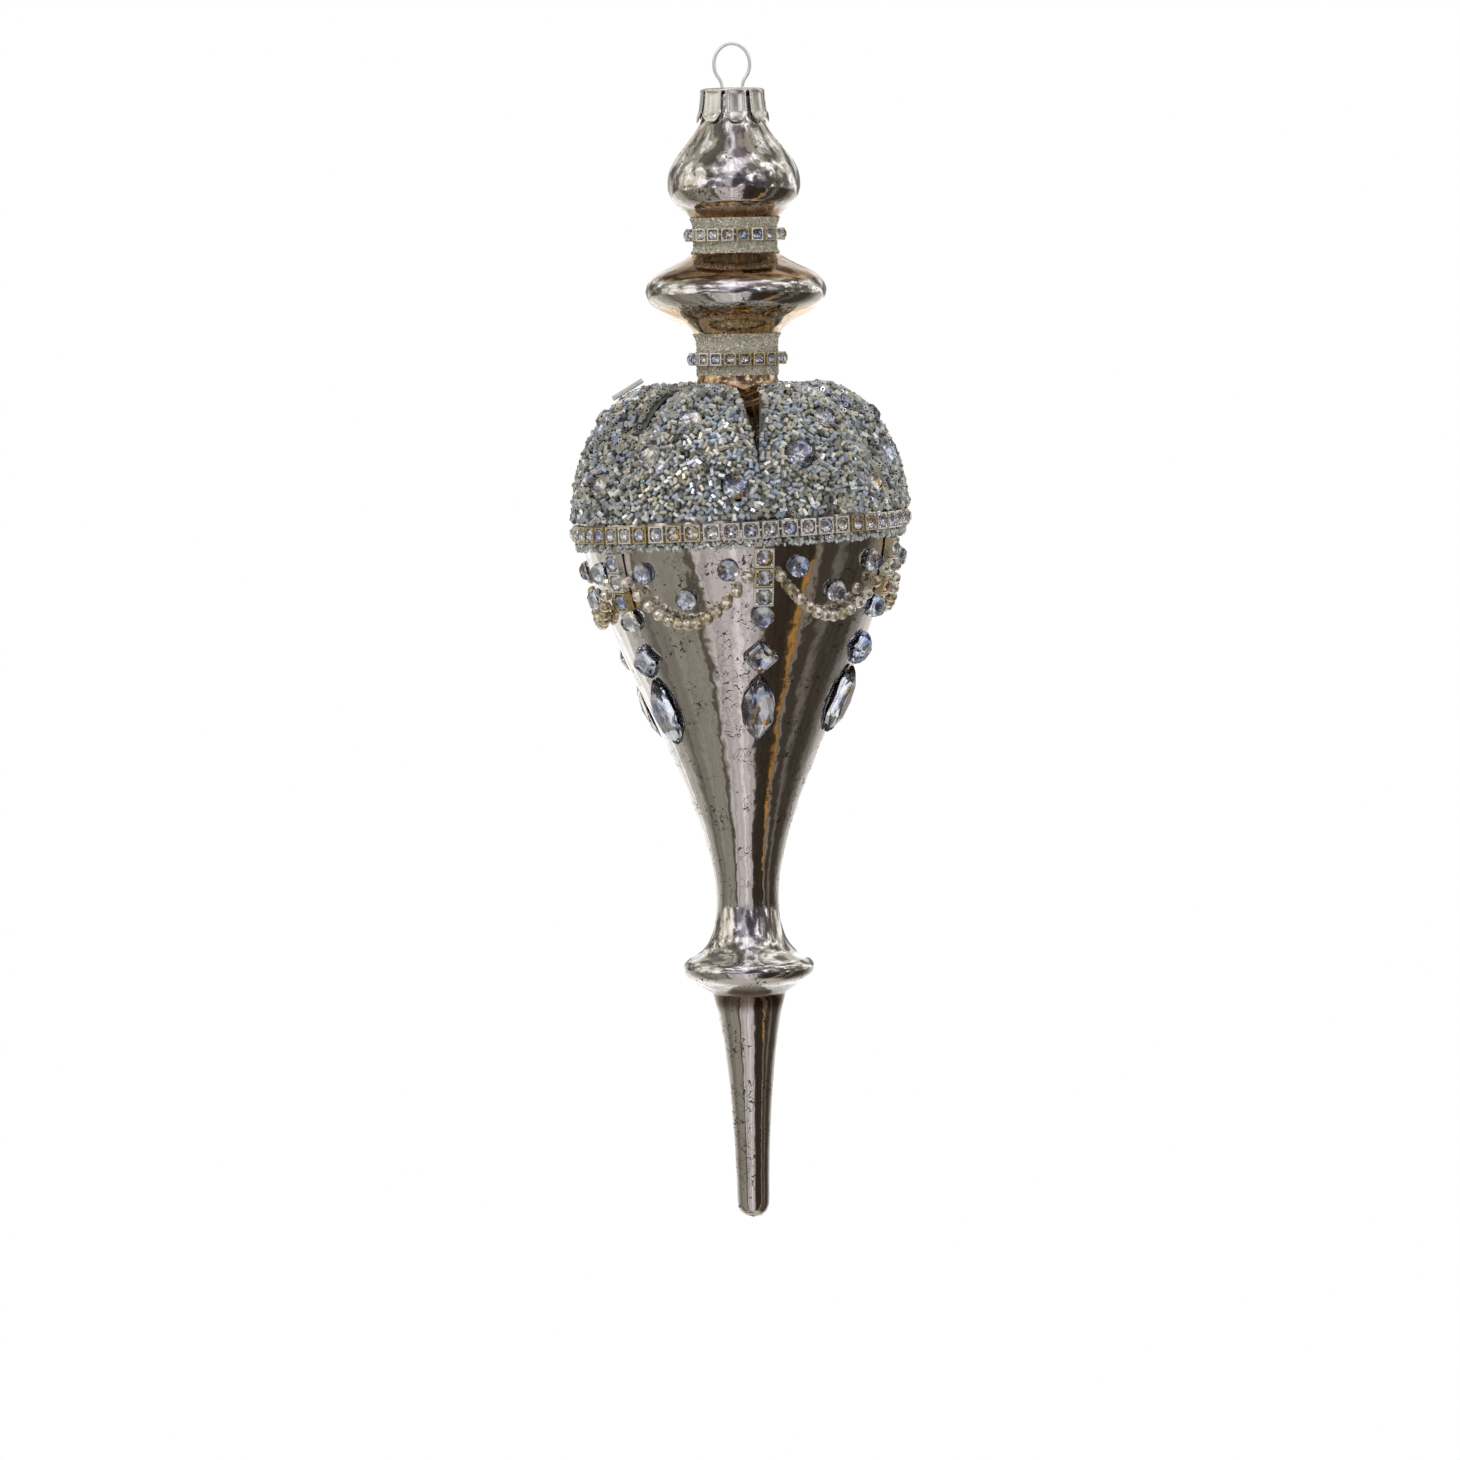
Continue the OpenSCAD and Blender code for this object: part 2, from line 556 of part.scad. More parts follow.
// Posts hang from the belt's edging, one down each crease.
post_gap = 0.05;
post_top_z = belt_z - belt_cup_w / 2 - edging_h - 2 * glue_gap;
function post_z(azimuth, k) = k == 0
    ? step_down(azimuth, post_top_z + trim_rise(azimuth), post_cup_w / 2)
    : step_down(azimuth, post_z(azimuth, k - 1), post_cup_w + post_gap);
module post(i) {
    azimuth = crease_azimuth(i);
    for (k = [0:post_cups - 1]) set_on_skin(azimuth, post_z(azimuth, k), 2 * glue_gap) children();
}
// A swag hangs between two posts as a parabola of beads lying on the glass.
// Its end beads stop short of the posts' cups.
swag_clear = post_cup_w / 2 + swag_bead_d / 2 + 3 * glue_gap;
swag_reach = lobe_step / 2 - asin(swag_clear / (body_d / 2));
module swag(i) {
    color("tan") for (k = [0:swag_beads - 1]) {
        x = 2 * k / (swag_beads - 1) - 1;
        azimuth = lobe_azimuth(i) + x * swag_reach;
        z = belt_z - swag_end_drop - swag_sag * (1 - x * x) + trim_rise(azimuth);
        set_on_skin(azimuth, z, swag_bead_d / 2 + glue_gap) sphere(d = swag_bead_d);
    }
}
// Panel stones: turn from the lobe's middle, and drop below the belt as a share of the
// drop to the ends of the swags.
panel_stones = [[-17, 0.845], [0, 1.445], [17, 0.845]];
module panel_stones(i) {
    for (s = panel_stones) {
        azimuth = lobe_azimuth(i) + s[0];
        set_on_skin(azimuth, belt_z - s[1] * swag_end_drop + trim_rise(azimuth), glue_gap)
            round_stone(panel_stone_d, stone_h);
    }
}
// Drops: a round, a square on its corner and a pointed stone in line under each post.
drop_gap = 0.2;
function drop_round_z(azimuth) =
    step_down(azimuth, post_z(azimuth, post_cups - 1), post_cup_w / 2 + drop_gap + drop_round_d / 2);
function drop_square_z(azimuth) =
    step_down(azimuth, drop_round_z(azimuth), drop_round_d / 2 + drop_link + drop_square_w * sqrt(0.5));
function drop_navette_z(azimuth) =
    step_down(azimuth, drop_square_z(azimuth), drop_square_w * sqrt(0.5) + 2 * drop_gap + navette_l / 2);
module drop_stones(i) {
    azimuth = crease_azimuth(i);
    set_on_skin(azimuth, drop_round_z(azimuth), 2 * glue_gap) round_stone(drop_round_d, stone_h);
    set_on_skin(azimuth, drop_square_z(azimuth), 2 * glue_gap) square_stone(drop_square_w, stone_h);
    set_on_skin(azimuth, drop_navette_z(azimuth), 2 * glue_gap) navette_stone(navette_w, navette_l, stone_h);
}

// ---- assembly ----
module show(name) {
    children();
}
wire_loop();
cap();
glass_shell();
show("upper_glitter_band") glitter_band(upper_waist_curve());
show("lower_glitter_band") glitter_band(lower_waist_curve());
show("upper_ring_cups") ring_of(ring_cups, upper_ring_r, upper_ring_z) cup(ring_cup_w, ring_cup_h);
show("upper_ring_stones") ring_of(ring_cups, upper_ring_r, upper_ring_z) cup_stone(ring_cup_w, ring_cup_h);
show("lower_ring_cups") ring_of(ring_cups, lower_ring_r, lower_ring_z) cup(ring_cup_w, ring_cup_h);
show("lower_ring_stones") ring_of(ring_cups, lower_ring_r, lower_ring_z) cup_stone(ring_cup_w, ring_cup_h);
show("belt_cups") ring_of(belt_cups, belt_r, belt_z, trim_tilt) cup(belt_cup_w, belt_cup_h);
show("belt_stones") ring_of(belt_cups, belt_r, belt_z, trim_tilt) cup_stone(belt_cup_w, belt_cup_h);
show("belt_edging") belt_edging();
for (i = [1:lobes]) {
    show(str("bead_coat_", i)) bead_coat(i);
    show(str("shoulder_stones_", i)) each_shoulder_stone(i) round_stone($stone_d, shoulder_stone_h);
    show(str("post_cups_", i)) post(i) cup(post_cup_w, post_cup_h);
    show(str("post_stones_", i)) post(i) cup_stone(post_cup_w, post_cup_h);
    show(str("swag_", i)) swag(i);
    show(str("panel_stones_", i)) panel_stones(i);
    show(str("drop_stones_", i)) drop_stones(i);
}
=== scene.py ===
import math
import random

import bmesh
import bpy
from mathutils import Matrix, Quaternion, Vector


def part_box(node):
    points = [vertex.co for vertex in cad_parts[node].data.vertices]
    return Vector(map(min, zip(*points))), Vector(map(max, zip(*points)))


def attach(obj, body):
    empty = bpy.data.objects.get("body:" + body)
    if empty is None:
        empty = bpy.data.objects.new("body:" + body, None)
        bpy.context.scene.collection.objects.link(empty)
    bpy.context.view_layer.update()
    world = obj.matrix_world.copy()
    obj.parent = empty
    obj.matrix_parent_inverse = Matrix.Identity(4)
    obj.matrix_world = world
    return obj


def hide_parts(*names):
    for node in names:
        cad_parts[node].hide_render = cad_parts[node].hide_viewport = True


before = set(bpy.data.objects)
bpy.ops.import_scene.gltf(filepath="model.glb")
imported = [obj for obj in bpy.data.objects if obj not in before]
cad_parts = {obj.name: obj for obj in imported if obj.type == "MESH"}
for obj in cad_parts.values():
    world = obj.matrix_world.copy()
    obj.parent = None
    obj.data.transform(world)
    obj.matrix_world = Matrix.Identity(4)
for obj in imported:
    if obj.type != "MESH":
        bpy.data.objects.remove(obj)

scene = bpy.context.scene
for name in ("Cube", "Light", "Camera"):     # the new file's own objects
    if name in bpy.data.objects:
        bpy.data.objects.remove(bpy.data.objects[name])
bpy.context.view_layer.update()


# Small helpers. Sizes are written in millimetres and turned to metres by mm.
def mm(value):
    return value / 1000


def deselectAll():
    if bpy.context.object and bpy.context.object.mode != "OBJECT":
        bpy.ops.object.mode_set(mode="OBJECT")
    bpy.ops.object.select_all(action="DESELECT")


def makeActive(*objects):
    deselectAll()
    for item in objects:
        item.select_set(True)
    bpy.context.view_layer.objects.active = objects[0]


def editMesh(item, select="DESELECT"):
    makeActive(item)
    bpy.ops.object.mode_set(mode="EDIT")
    bpy.ops.mesh.select_all(action=select)
    return bmesh.from_edit_mesh(item.data)


def pick(item, kind, test):
    # In edit mode, selects the verts, edges or faces that pass the test.
    mesh = bmesh.from_edit_mesh(item.data)
    for part in getattr(mesh, kind):
        part.select_set(test(part))
    if kind == "verts":
        mesh.select_flush(True)


def objectMode():
    bpy.ops.object.mode_set(mode="OBJECT")


def settle(item, name):
    # Puts the place of a finished piece into its mesh.
    item.name = name
    item.data.name = name
    makeActive(item)
    bpy.ops.object.transform_apply(location=True, rotation=True, scale=True)
    return item


def applyModifier(item, kind, **settings):
    makeActive(item)
    modifier = item.modifiers.new(kind.title(), kind)
    for key, value in settings.items():
        setattr(modifier, key, value)
    bpy.ops.object.modifier_apply(modifier=modifier.name)


def joined(parts, name):
    makeActive(*parts)
    if len(parts) > 1:
        bpy.ops.object.join()
    return settle(parts[0], name)


def tidyNormals(item, distance=0.000001):
    editMesh(item, "SELECT")
    bpy.ops.mesh.remove_doubles(threshold=distance)
    bpy.ops.mesh.normals_make_consistent(inside=False)
    objectMode()


def setTone(mesh, tone):
    # One number for each face, which the materials read to vary colour from bead to bead.
    layer = mesh.attributes.get("tone") or mesh.attributes.new("tone", "FLOAT", "FACE")
    layer.data.foreach_set("value", [tone] * len(mesh.polygons))


def copiesJoined(model, places, name, batch=60):
    # The model is copied to each place, with its own mesh, and the copies become one piece. They are
    # joined a batch at a time, which is much quicker than all at once.
    groups = []
    for start in range(0, len(places), batch):
        copies = []
        for place, tone in places[start:start + batch]:
            mesh = model.data.copy()
            mesh.transform(place)
            setTone(mesh, tone)
            copy = bpy.data.objects.new(name, mesh)
            scene.collection.objects.link(copy)
            copies.append(copy)
        groups.append(joined(copies, name))
    return joined(groups, name)


def stow(item):
    # The model that was copied isn't part of the ornament.
    bpy.data.objects.remove(item)


def stands(piece, slot, *names, body="finial"):
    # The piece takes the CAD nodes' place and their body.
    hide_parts(*names)
    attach(piece, body)


# Materials
def srgb(code):
    # sRGB hex to the linear colour that Blender's sockets take.
    parts = [int(code[i:i + 2], 16) / 255 for i in (1, 3, 5)]
    return [p / 12.92 if p <= 0.04045 else ((p + 0.055) / 1.055) ** 2.4 for p in parts] + [1]


def linkInputs(material, node, links):
    # A node given as a source stands for its first live output.
    for key, source in links.items():
        if isinstance(source, bpy.types.Node):
            source = next(socket for socket in source.outputs if socket.enabled)
        material.node_tree.links.new(source, node.inputs[key])


def addNode(material, kind, settings=None, links=None):
    # Adds one shader node, sets its sockets or properties by name, or by number where names repeat, and
    # links its inputs. A colour Mix takes its share at 0 and its colours at 6 and 7.
    node = material.node_tree.nodes.new("ShaderNode" + kind)
    for key, value in (settings or {}).items():
        if isinstance(key, int) or key in node.inputs:
            node.inputs[key].default_value = value
        else:
            setattr(node, key, value)
    linkInputs(material, node, links or {})
    return node


def newMaterial(name, **settings):
    material = bpy.data.materials.new(name)
    material.use_nodes = True
    shader = material.node_tree.nodes["Principled BSDF"]
    for key, value in settings.items():
        shader.inputs[key.replace("_", " ")].default_value = value
    return material, shader


def rampStops(ramp, stops, blend="LINEAR"):
    # Gives a colour ramp its stops, each a place from 0 to 1 and a hex colour.
    ramp.color_ramp.interpolation = blend
    elements = ramp.color_ramp.elements
    elements.remove(elements[-1])
    elements[0].position, elements[0].color = stops[0][0], srgb(stops[0][1])
    for place, code in stops[1:]:
        elements.new(place).color = srgb(code)
    return ramp


# Camera: a long lens a little above the middle of the ornament, rolled slightly.
print("camera")
cameraSettings = {"distance": 1.3, "height": -0.049, "aimX": -0.0029, "aimZ": -0.1368, "lens": 160,
                  "sensor": 36, "roll": 1.1, "reach": 50}
cameraData = bpy.data.cameras.new("camera")
camera = bpy.data.objects.new("camera", cameraData)
scene.collection.objects.link(camera)
cameraData.lens = cameraSettings["lens"]
cameraData.sensor_width = cameraSettings["sensor"]
cameraData.clip_end = cameraSettings["reach"]
camera.location = (cameraSettings["aimX"], -cameraSettings["distance"], cameraSettings["height"])
aim = Vector((cameraSettings["aimX"], 0, cameraSettings["aimZ"])) - camera.location
roll = Quaternion((0, 0, 1), math.radians(-cameraSettings["roll"]))
camera.rotation_mode = "QUATERNION"
camera.rotation_quaternion = aim.to_track_quat("-Z", "Y") @ roll
scene.camera = camera

# The glass's own sizes, in millimetres, as the CAD part has them.
glass = {
    "neckD": 11.6, "neckL": 3, "bulbD": 26.8, "bulbDrop": 15.2, "bulbTail": 9.8,
    "upperWaistD": 16.2, "upperWaistL": 3, "discD": 36.6, "discRise": 8.8, "discFall": 10.1,
    "lowerWaistD": 15.8, "lowerWaistL": 6.6, "bodyD": 64.6, "shoulderH": 28.2,
    "crestR": 15.5, "crestDrop": 3.1, "creaseDrop": 5, "creaseSetIn": 2.5, "creaseDepth": 0.6,
    "lobes": 6, "lobeTurn": 8, "taperL": 76.7, "stemD": 12.7, "stemL": 14.4,
    "flangeD": 26.8, "flangeFall": 5.2, "spikeRootD": 14.5, "spikeTipD": 6.7, "spikeL": 45.4,
    "wall": 1, "columns": 60,
}
# The trim's sizes, in millimetres and degrees.
trim = {
    "tilt": 2, "glueGap": 0.06, "coatBed": 0.3, "glitterT": 0.35,
    "beltDrop": 1.8, "beltCups": 54, "beltCupW": 3.3, "beltCupH": 1.3,
    "edgingH": 1.7, "ringCups": 20, "ringCupW": 2.5, "ringCupH": 1,
    "postCups": 3, "postCupW": 3.8, "postCupH": 1.5, "postGap": 0.05,
    "swagBeadD": 2.5, "swagBeads": 13, "swagEndDrop": 9, "swagSag": 8.6,
    "panelStoneD": 4.4, "dropRoundD": 4.7, "dropSquareW": 5, "navetteW": 6.9, "navetteL": 14.4,
    "stoneH": 2.2, "shoulderStoneD": 6, "shoulderStoneH": 2.4, "dropLink": 2.9, "dropGap": 0.2,
}

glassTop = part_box("glass_shell")[1].z * 1000
neckEndZ = glassTop - glass["neckL"]
bulbZ = neckEndZ - glass["bulbDrop"]
upperWaistZ = bulbZ - glass["bulbTail"]
upperWaistEndZ = upperWaistZ - glass["upperWaistL"]
discZ = upperWaistEndZ - glass["discRise"]
lowerWaistZ = discZ - glass["discFall"]
lowerWaistEndZ = lowerWaistZ - glass["lowerWaistL"]
bodyZ = lowerWaistEndZ - glass["shoulderH"]
stemZ = bodyZ - glass["taperL"]
flangeZ = stemZ - glass["stemL"]
spikeZ = flangeZ - glass["flangeFall"]
tipZ = spikeZ - glass["spikeL"]
beltZ = bodyZ - trim["beltDrop"]
neckR, bulbR, upperR, discR, lowerR, bodyR, stemR, flangeR, rootR, tipR = (
    glass[key] / 2 for key in ("neckD", "bulbD", "upperWaistD", "discD", "lowerWaistD", "bodyD",
                               "stemD", "flangeD", "spikeRootD", "spikeTipD"))


# Curves of the glass, in millimetres: radius first, then height. Each bulge is drawn by two leads,
# the shares of its height that it runs straight down from its start and straight into its end.
def bezier(a, b, c, d, t):
    weights = ((1 - t) ** 3, 3 * t * (1 - t) ** 2, 3 * t * t * (1 - t), t ** 3)
    return [sum(w * p[i] for w, p in zip(weights, (a, b, c, d))) for i in (0, 1)]


def sCurve(a, b, leadA, leadB, t):
    drop = a[1] - b[1]
    return bezier(a, (a[0], a[1] - leadA * drop), (b[0], b[1] + leadB * drop), b, t)


def between(a, b, shareR, shareZ):
    return (a[0] + shareR * (b[0] - a[0]), a[1] + shareZ * (b[1] - a[1]))


def bulbFall(t):
    return sCurve((bulbR, bulbZ), (upperR, upperWaistZ), 0.66, 0.59, t)


def discRise(t):
    return sCurve((upperR, upperWaistEndZ), (discR, discZ), 0.34, 0.57, t)


def discFall(t):
    return sCurve((discR, discZ), (lowerR, lowerWaistZ), 0.5, 0.41, t)


# The shoulder runs from the waist at v 0, over its crest at 1, to the equator at 2, and then on down
# the taper. A share of 0 lies in a crease and 1 on the middle of a lobe.
waist = (lowerR, lowerWaistEndZ)
crest = (glass["crestR"], lowerWaistEndZ - glass["crestDrop"])
hollow = (glass["crestR"] - glass["creaseSetIn"], lowerWaistEndZ - glass["creaseDrop"])
equator = (bodyR, bodyZ)
taperCut = 0.34     # the share of the taper that v runs down from 2 to 3


def lobePoint(v):
    if v < 1:
        return bezier(waist, between(waist, crest, 0, 0.9), between(crest, waist, 0.66, -0.29), crest, v)
    leadIn, leadOut = between(crest, equator, 0.6, 0), between(equator, crest, 0, 0.48)
    return bezier(crest, leadIn, leadOut, equator, v - 1)


def creasePoint(v):
    if v < 1:
        leadIn, leadOut = between(waist, hollow, 0, 0.52), between(hollow, waist, 0.59, -0.12)
        return bezier(waist, leadIn, leadOut, hollow, v)
    low = (bodyR - glass["creaseDepth"], bodyZ)
    leadIn, leadOut = between(hollow, equator, 0.26, 0.04), between(equator, hollow, 0.275, 0.6)
    return bezier(hollow, leadIn, leadOut, low, v - 1)


def taperPoint(t):
    return sCurve(equator, (stemR, stemZ), 0.26, 0.27, t)


def skin(v, share):
    if v <= 2:
        a, b = creasePoint(v), lobePoint(v)
        return [a[i] + share * (b[i] - a[i]) for i in (0, 1)]
    r, z = taperPoint((v - 2) * taperCut)
    return [r - (1 - share) * glass["creaseDepth"] * max(0, 3 - v) ** 2, z]


def swell(azimuth):
    return abs(math.sin(math.radians((azimuth - glass["lobeTurn"]) * glass["lobes"] / 2)))


def skinRadius(azimuth, z):
    # Finds the height on the meridian by halving.
    share = swell(azimuth)
    low, high = 1.05, 4.9
    for _ in range(26):
        v = (low + high) / 2
        if skin(v, share)[1] > z:
            low = v
        else:
            high = v
    return skin(low, share)[0]


def turned(azimuth, r, z):
    a = math.radians(azimuth)
    return Vector((r * math.sin(a), -r * math.cos(a), z))


def onSkin(azimuth, z):
    return turned(azimuth, skinRadius(azimuth, z), z)


def placeFrom(origin, down, normal):
    # +Z along the normal and +X down the ornament, with the origin turned to metres.
    n = normal.normalized()
    y = n.cross(down).normalized()
    x = y.cross(n)
    place = Matrix((x, y, n)).transposed().to_4x4()
    place.translation = origin / 1000
    return place


def skinPlace(azimuth, z, lift=0):
    down = onSkin(azimuth, z - 0.3) - onSkin(azimuth, z + 0.3)
    across = onSkin(azimuth + 0.6, z) - onSkin(azimuth - 0.6, z)
    normal = down.cross(across).normalized()
    return placeFrom(onSkin(azimuth, z) + lift * normal, down, normal)


def stepDown(azimuth, z, distance):
    slope = skinRadius(azimuth, z + 0.5) - skinRadius(azimuth, z - 0.5)
    return z - distance / math.hypot(1, slope)


def trimRise(azimuth):
    return bodyR * math.sin(math.radians(azimuth)) * math.tan(math.radians(trim["tilt"]))


halfLobe = 180 / glass["lobes"]     # degrees from the middle of a lobe to its crease


def creaseAzimuth(i):
    return glass["lobeTurn"] + (i - 1) * 2 * halfLobe


def lobeAzimuth(i):
    return creaseAzimuth(i) - halfLobe


# Blown glass: one ring of points, extruded down the profile ring by ring.
print("blown glass")


def glassRings():
    # Each ring is a function from a lobe's share to (radius, height).
    rings = [(neckR, glassTop)]
    rings += [sCurve((neckR, neckEndZ), (bulbR, bulbZ), 0.37, 0.43, i / 10) for i in range(10)]
    rings += [bulbFall(i / 12) for i in range(12)] + [(upperR, upperWaistZ)]
    rings += [discRise(i / 12) for i in range(12)] + [discFall(i / 12) for i in range(12)]
    rings += [(lowerR, lowerWaistZ), (lowerR, (lowerWaistZ + lowerWaistEndZ) / 2), waist]
    steps = [0.2, 0.4, 0.6, 0.8] + [1 + i / 10 for i in range(10)] + [2 + i / 6 for i in range(6)]
    lower = [taperPoint(taperCut + (1 - taperCut) * i / 12) for i in range(12)]
    rim, root = (flangeR, flangeZ), (rootR, spikeZ)
    lower += [sCurve((stemR, stemZ), rim, 0.98, 0.32, i / 13) for i in range(13)]
    rimLead = (rim[0], rim[1] - 0.42 * glass["flangeFall"])
    rootLead = (root[0] + 0.05 * glass["flangeFall"], root[1] + 0.2 * glass["flangeFall"])
    lower += [bezier(rim, rimLead, rootLead, root, i / 9) for i in range(9)]
    tipTop = (tipR, tipZ + tipR)
    spikeLead = (root[0] - glass["spikeL"] / 12, root[1] - glass["spikeL"] / 3)
    lower += [bezier(root, spikeLead, (tipR, tipTop[1] + 1), tipTop, i / 9) for i in range(9)]
    lower += [(tipR * math.cos(math.radians(a)), tipTop[1] - tipR * math.sin(math.radians(a)))
              for a in (0, 18, 36, 54, 70, 82)]
    return ([lambda share, p=p: p for p in rings] + [lambda share, v=v: skin(v, share) for v in steps]
            + [lambda share, p=p: p for p in lower])


def blowGlass():
    rings = glassRings()
    radius, z = rings[0](0)
    deselectAll()
    bpy.ops.mesh.primitive_circle_add(vertices=glass["columns"], radius=mm(radius), location=(0, 0, mm(z)),
                                      rotation=(0, 0, math.radians(glass["lobeTurn"])))
    shell = settle(bpy.context.object, "blownGlass")
    editMesh(shell, "SELECT")
    half = glass["columns"] // glass["lobes"] // 2
    for ring in rings[1:]:
        bpy.ops.mesh.extrude_region_move()
        mesh = bmesh.from_edit_mesh(shell.data)
        points = [v for v in mesh.verts if v.select]
        groups = {}
        for v in points:
            azimuth = math.degrees(math.atan2(v.co.x, -v.co.y)) - glass["lobeTurn"]
            column = round(azimuth * glass["columns"] / 360) % (2 * half)
            groups.setdefault(min(column, 2 * half - column), []).append(v)
        if ring(0) == ring(1):
            groups = {0: points}
        for column, members in groups.items():
            for v in points:
                v.select_set(v in members if len(groups) > 1 else True)
            mesh.select_flush(False)
            r, z = ring(math.sin(math.pi / 2 * column / half))
            now = members[0].co
            scale = mm(r) / math.hypot(now.x, now.y)
            rise = mm(z) - now.z
            bpy.ops.transform.resize(value=(scale, scale, 1), center_override=(0, 0, now.z))
            bpy.ops.transform.translate(value=(0, 0, rise))
        mesh = bmesh.from_edit_mesh(shell.data)
        for v in points:
            v.select_set(True)
        mesh.select_flush(True)
    bpy.ops.mesh.extrude_region_move()
    bpy.ops.transform.translate(value=(0, 0, mm(tipZ) - points[0].co.z))
    bpy.ops.mesh.merge(type="CENTER")
    objectMode()
    tidyNormals(shell)
    applyModifier(shell, "SOLIDIFY", thickness=mm(glass["wall"]), offset=-1, use_even_offset=True)
    applyModifier(shell, "SUBSURF", levels=1, render_levels=1)
    bpy.ops.object.shade_smooth()
    return shell


def finishSilveredGlass():
    # Mercury glass: blown soda glass silvered on the inside. Mirror bright and slightly wavy, with
    # dark pinholes and curls where the silvering has lifted, and bronze stains.
    # shadow is the colour of the painted shade in the crease valley under the coat, and root that of the
    # painted shade at the spike's root under the flange.
    look = {"silver": "#E3E0DF", "shade": "#D2CCC4", "bronze": "#9A7449", "lacquer": "#AB8A62",
            "gilt": "#F0D6B0", "shadow": "#3A2C1E", "root": "#8C8072", "lifted": "#6A6056",
            "edge": 0.009,     # how ragged the lacquer's edges are, as a share of the height it covers
            "stainMm": 26, "pinholeMm": 1.5, "curlMm": 1.7, "patchMm": 6.25, "waveMm": 5, "waveDepthMm": 0.35}
    material, shader = newMaterial("silvered blown glass", Metallic=1.0, Coat_Weight=0.35,
                                   Coat_Roughness=0.03)
    place = addNode(material, "TexCoord").outputs["Object"]
    height = addNode(material, "SeparateXYZ", links={0: place}).outputs["Z"]
    cloud = addNode(material, "TexNoise", {"Scale": 1000 / look["stainMm"], "Detail": 4.0}, {"Vector": place})
    # Bronze stains, fewer of them on the taper.
    stained = addNode(material, "MapRange", {"From Min": mm(-78), "From Max": mm(-66), "To Min": 0.8,
                                             "To Max": 1.0}, {"Value": height})
    cloudy = addNode(material, "Math", {"operation": "MULTIPLY"}, {0: cloud, 1: stained})
    tint = rampStops(addNode(material, "ValToRGB", links={"Fac": cloudy}),
                     [(0.0, look["silver"]), (0.54, look["silver"]), (0.6, look["shade"]),
                      (0.68, look["bronze"])])
    # Bronze lacquer at the waists, with painted shade in the crease valley under the coat and at the spike's
    # root:
    # their colour over the silver at each height, white where there is none.
    bare, brown, gold, paintedCreaseShade, root = "#FFFFFF", look["lacquer"], look["gilt"], look["shadow"], look["root"]
    lacquerAndShadeByHeight = [(glassTop, bare), (bulbZ - 4.6, bare), (bulbZ - 5.4, brown), (discZ + 2.6, brown),
                 (discZ + 1.9, bare), (discZ - 2.5, bare), (discZ - 3.1, gold), (lowerWaistEndZ + 1, gold),
                 # Under the coat the crease valley is painted dark: painted shade.
                 (lowerWaistEndZ - 4.5, brown), (lowerWaistEndZ - 7, paintedCreaseShade), (bodyZ + 2, paintedCreaseShade),
                 # The grey band at the spike's root, under the flange, is painted shade.
                 (bodyZ + 1, bare), (flangeZ - 2.6, bare), (flangeZ - 3.4, root), (spikeZ - 1.4, root),
                 (spikeZ - 3.4, bare)]
    reach = glassTop - spikeZ + 10     # the ramp runs on 10 mm past the spike's root
    depth = addNode(material, "MapRange", {"From Min": mm(glassTop), "From Max": mm(glassTop - reach)},
                    {"Value": height})
    uneven = addNode(material, "Math", {"operation": "MULTIPLY_ADD", 1: look["edge"]}, {0: cloud, 2: depth})
    lacquerAndPaintedShade = rampStops(addNode(material, "ValToRGB", links={"Fac": uneven}),
                     [((glassTop - z) / reach + look["edge"] / 2, code) for z, code in lacquerAndShadeByHeight])
    tint = addNode(material, "Mix", {"data_type": "RGBA", "blend_type": "MULTIPLY", 0: 1.0},
                   {6: tint, 7: lacquerAndPaintedShade})
    # Pinholes in some of the cells, and curls in some patches.
    cells = addNode(material, "TexVoronoi", {"Scale": 1000 / look["pinholeMm"]}, {"Vector": place})
    hole = addNode(material, "MapRange", {"From Min": 0.10, "From Max": 0.17, "To Min": 1.0, "To Max": 0.0},
                   {"Value": cells})
    chance = addNode(material, "SeparateColor", links={"Color": cells.outputs["Color"]})
    some = addNode(material, "Math", {"operation": "GREATER_THAN", 1: 0.55}, {0: chance})
    holes = addNode(material, "Math", {"operation": "MULTIPLY"}, {0: hole, 1: some})
    curl = addNode(material, "TexNoise", {"Scale": 1000 / look["curlMm"], "Detail": 1.0, "Distortion": 0.6},
                   {"Vector": place})
    line = addNode(material, "Math", {"operation": "COMPARE", 1: 0.5, 2: 0.016}, {0: curl})
    patch = addNode(material, "TexNoise", {"Scale": 1000 / look["patchMm"], "Detail": 0.0}, {"Vector": place})
    where = addNode(material, "MapRange", {"From Min": 0.54, "From Max": 0.58}, {"Value": patch})
    curls = addNode(material, "Math", {"operation": "MULTIPLY"}, {0: line, 1: where})
    marks = addNode(material, "Math", {"operation": "MAXIMUM"}, {0: holes, 1: curls})
    colour = addNode(material, "Mix", {"data_type": "RGBA", 7: srgb(look["lifted"])}, {0: marks, 6: tint})
    rough = addNode(material, "MapRange", {"To Min": 0.04, "To Max": 0.13}, {"Value": cloud})
    dull = addNode(material, "Math", {"operation": "MULTIPLY_ADD", 1: 0.3}, {0: marks, 2: rough})
    wave = addNode(material, "TexNoise", {"Scale": 1000 / look["waveMm"], "Detail": 2.0}, {"Vector": place})
    bump = addNode(material, "Bump", {"Strength": 0.5, "Distance": mm(look["waveDepthMm"])}, {"Height": wave})
    linkInputs(material, shader, {"Base Color": colour, "Roughness": dull, "Normal": bump})
    return material


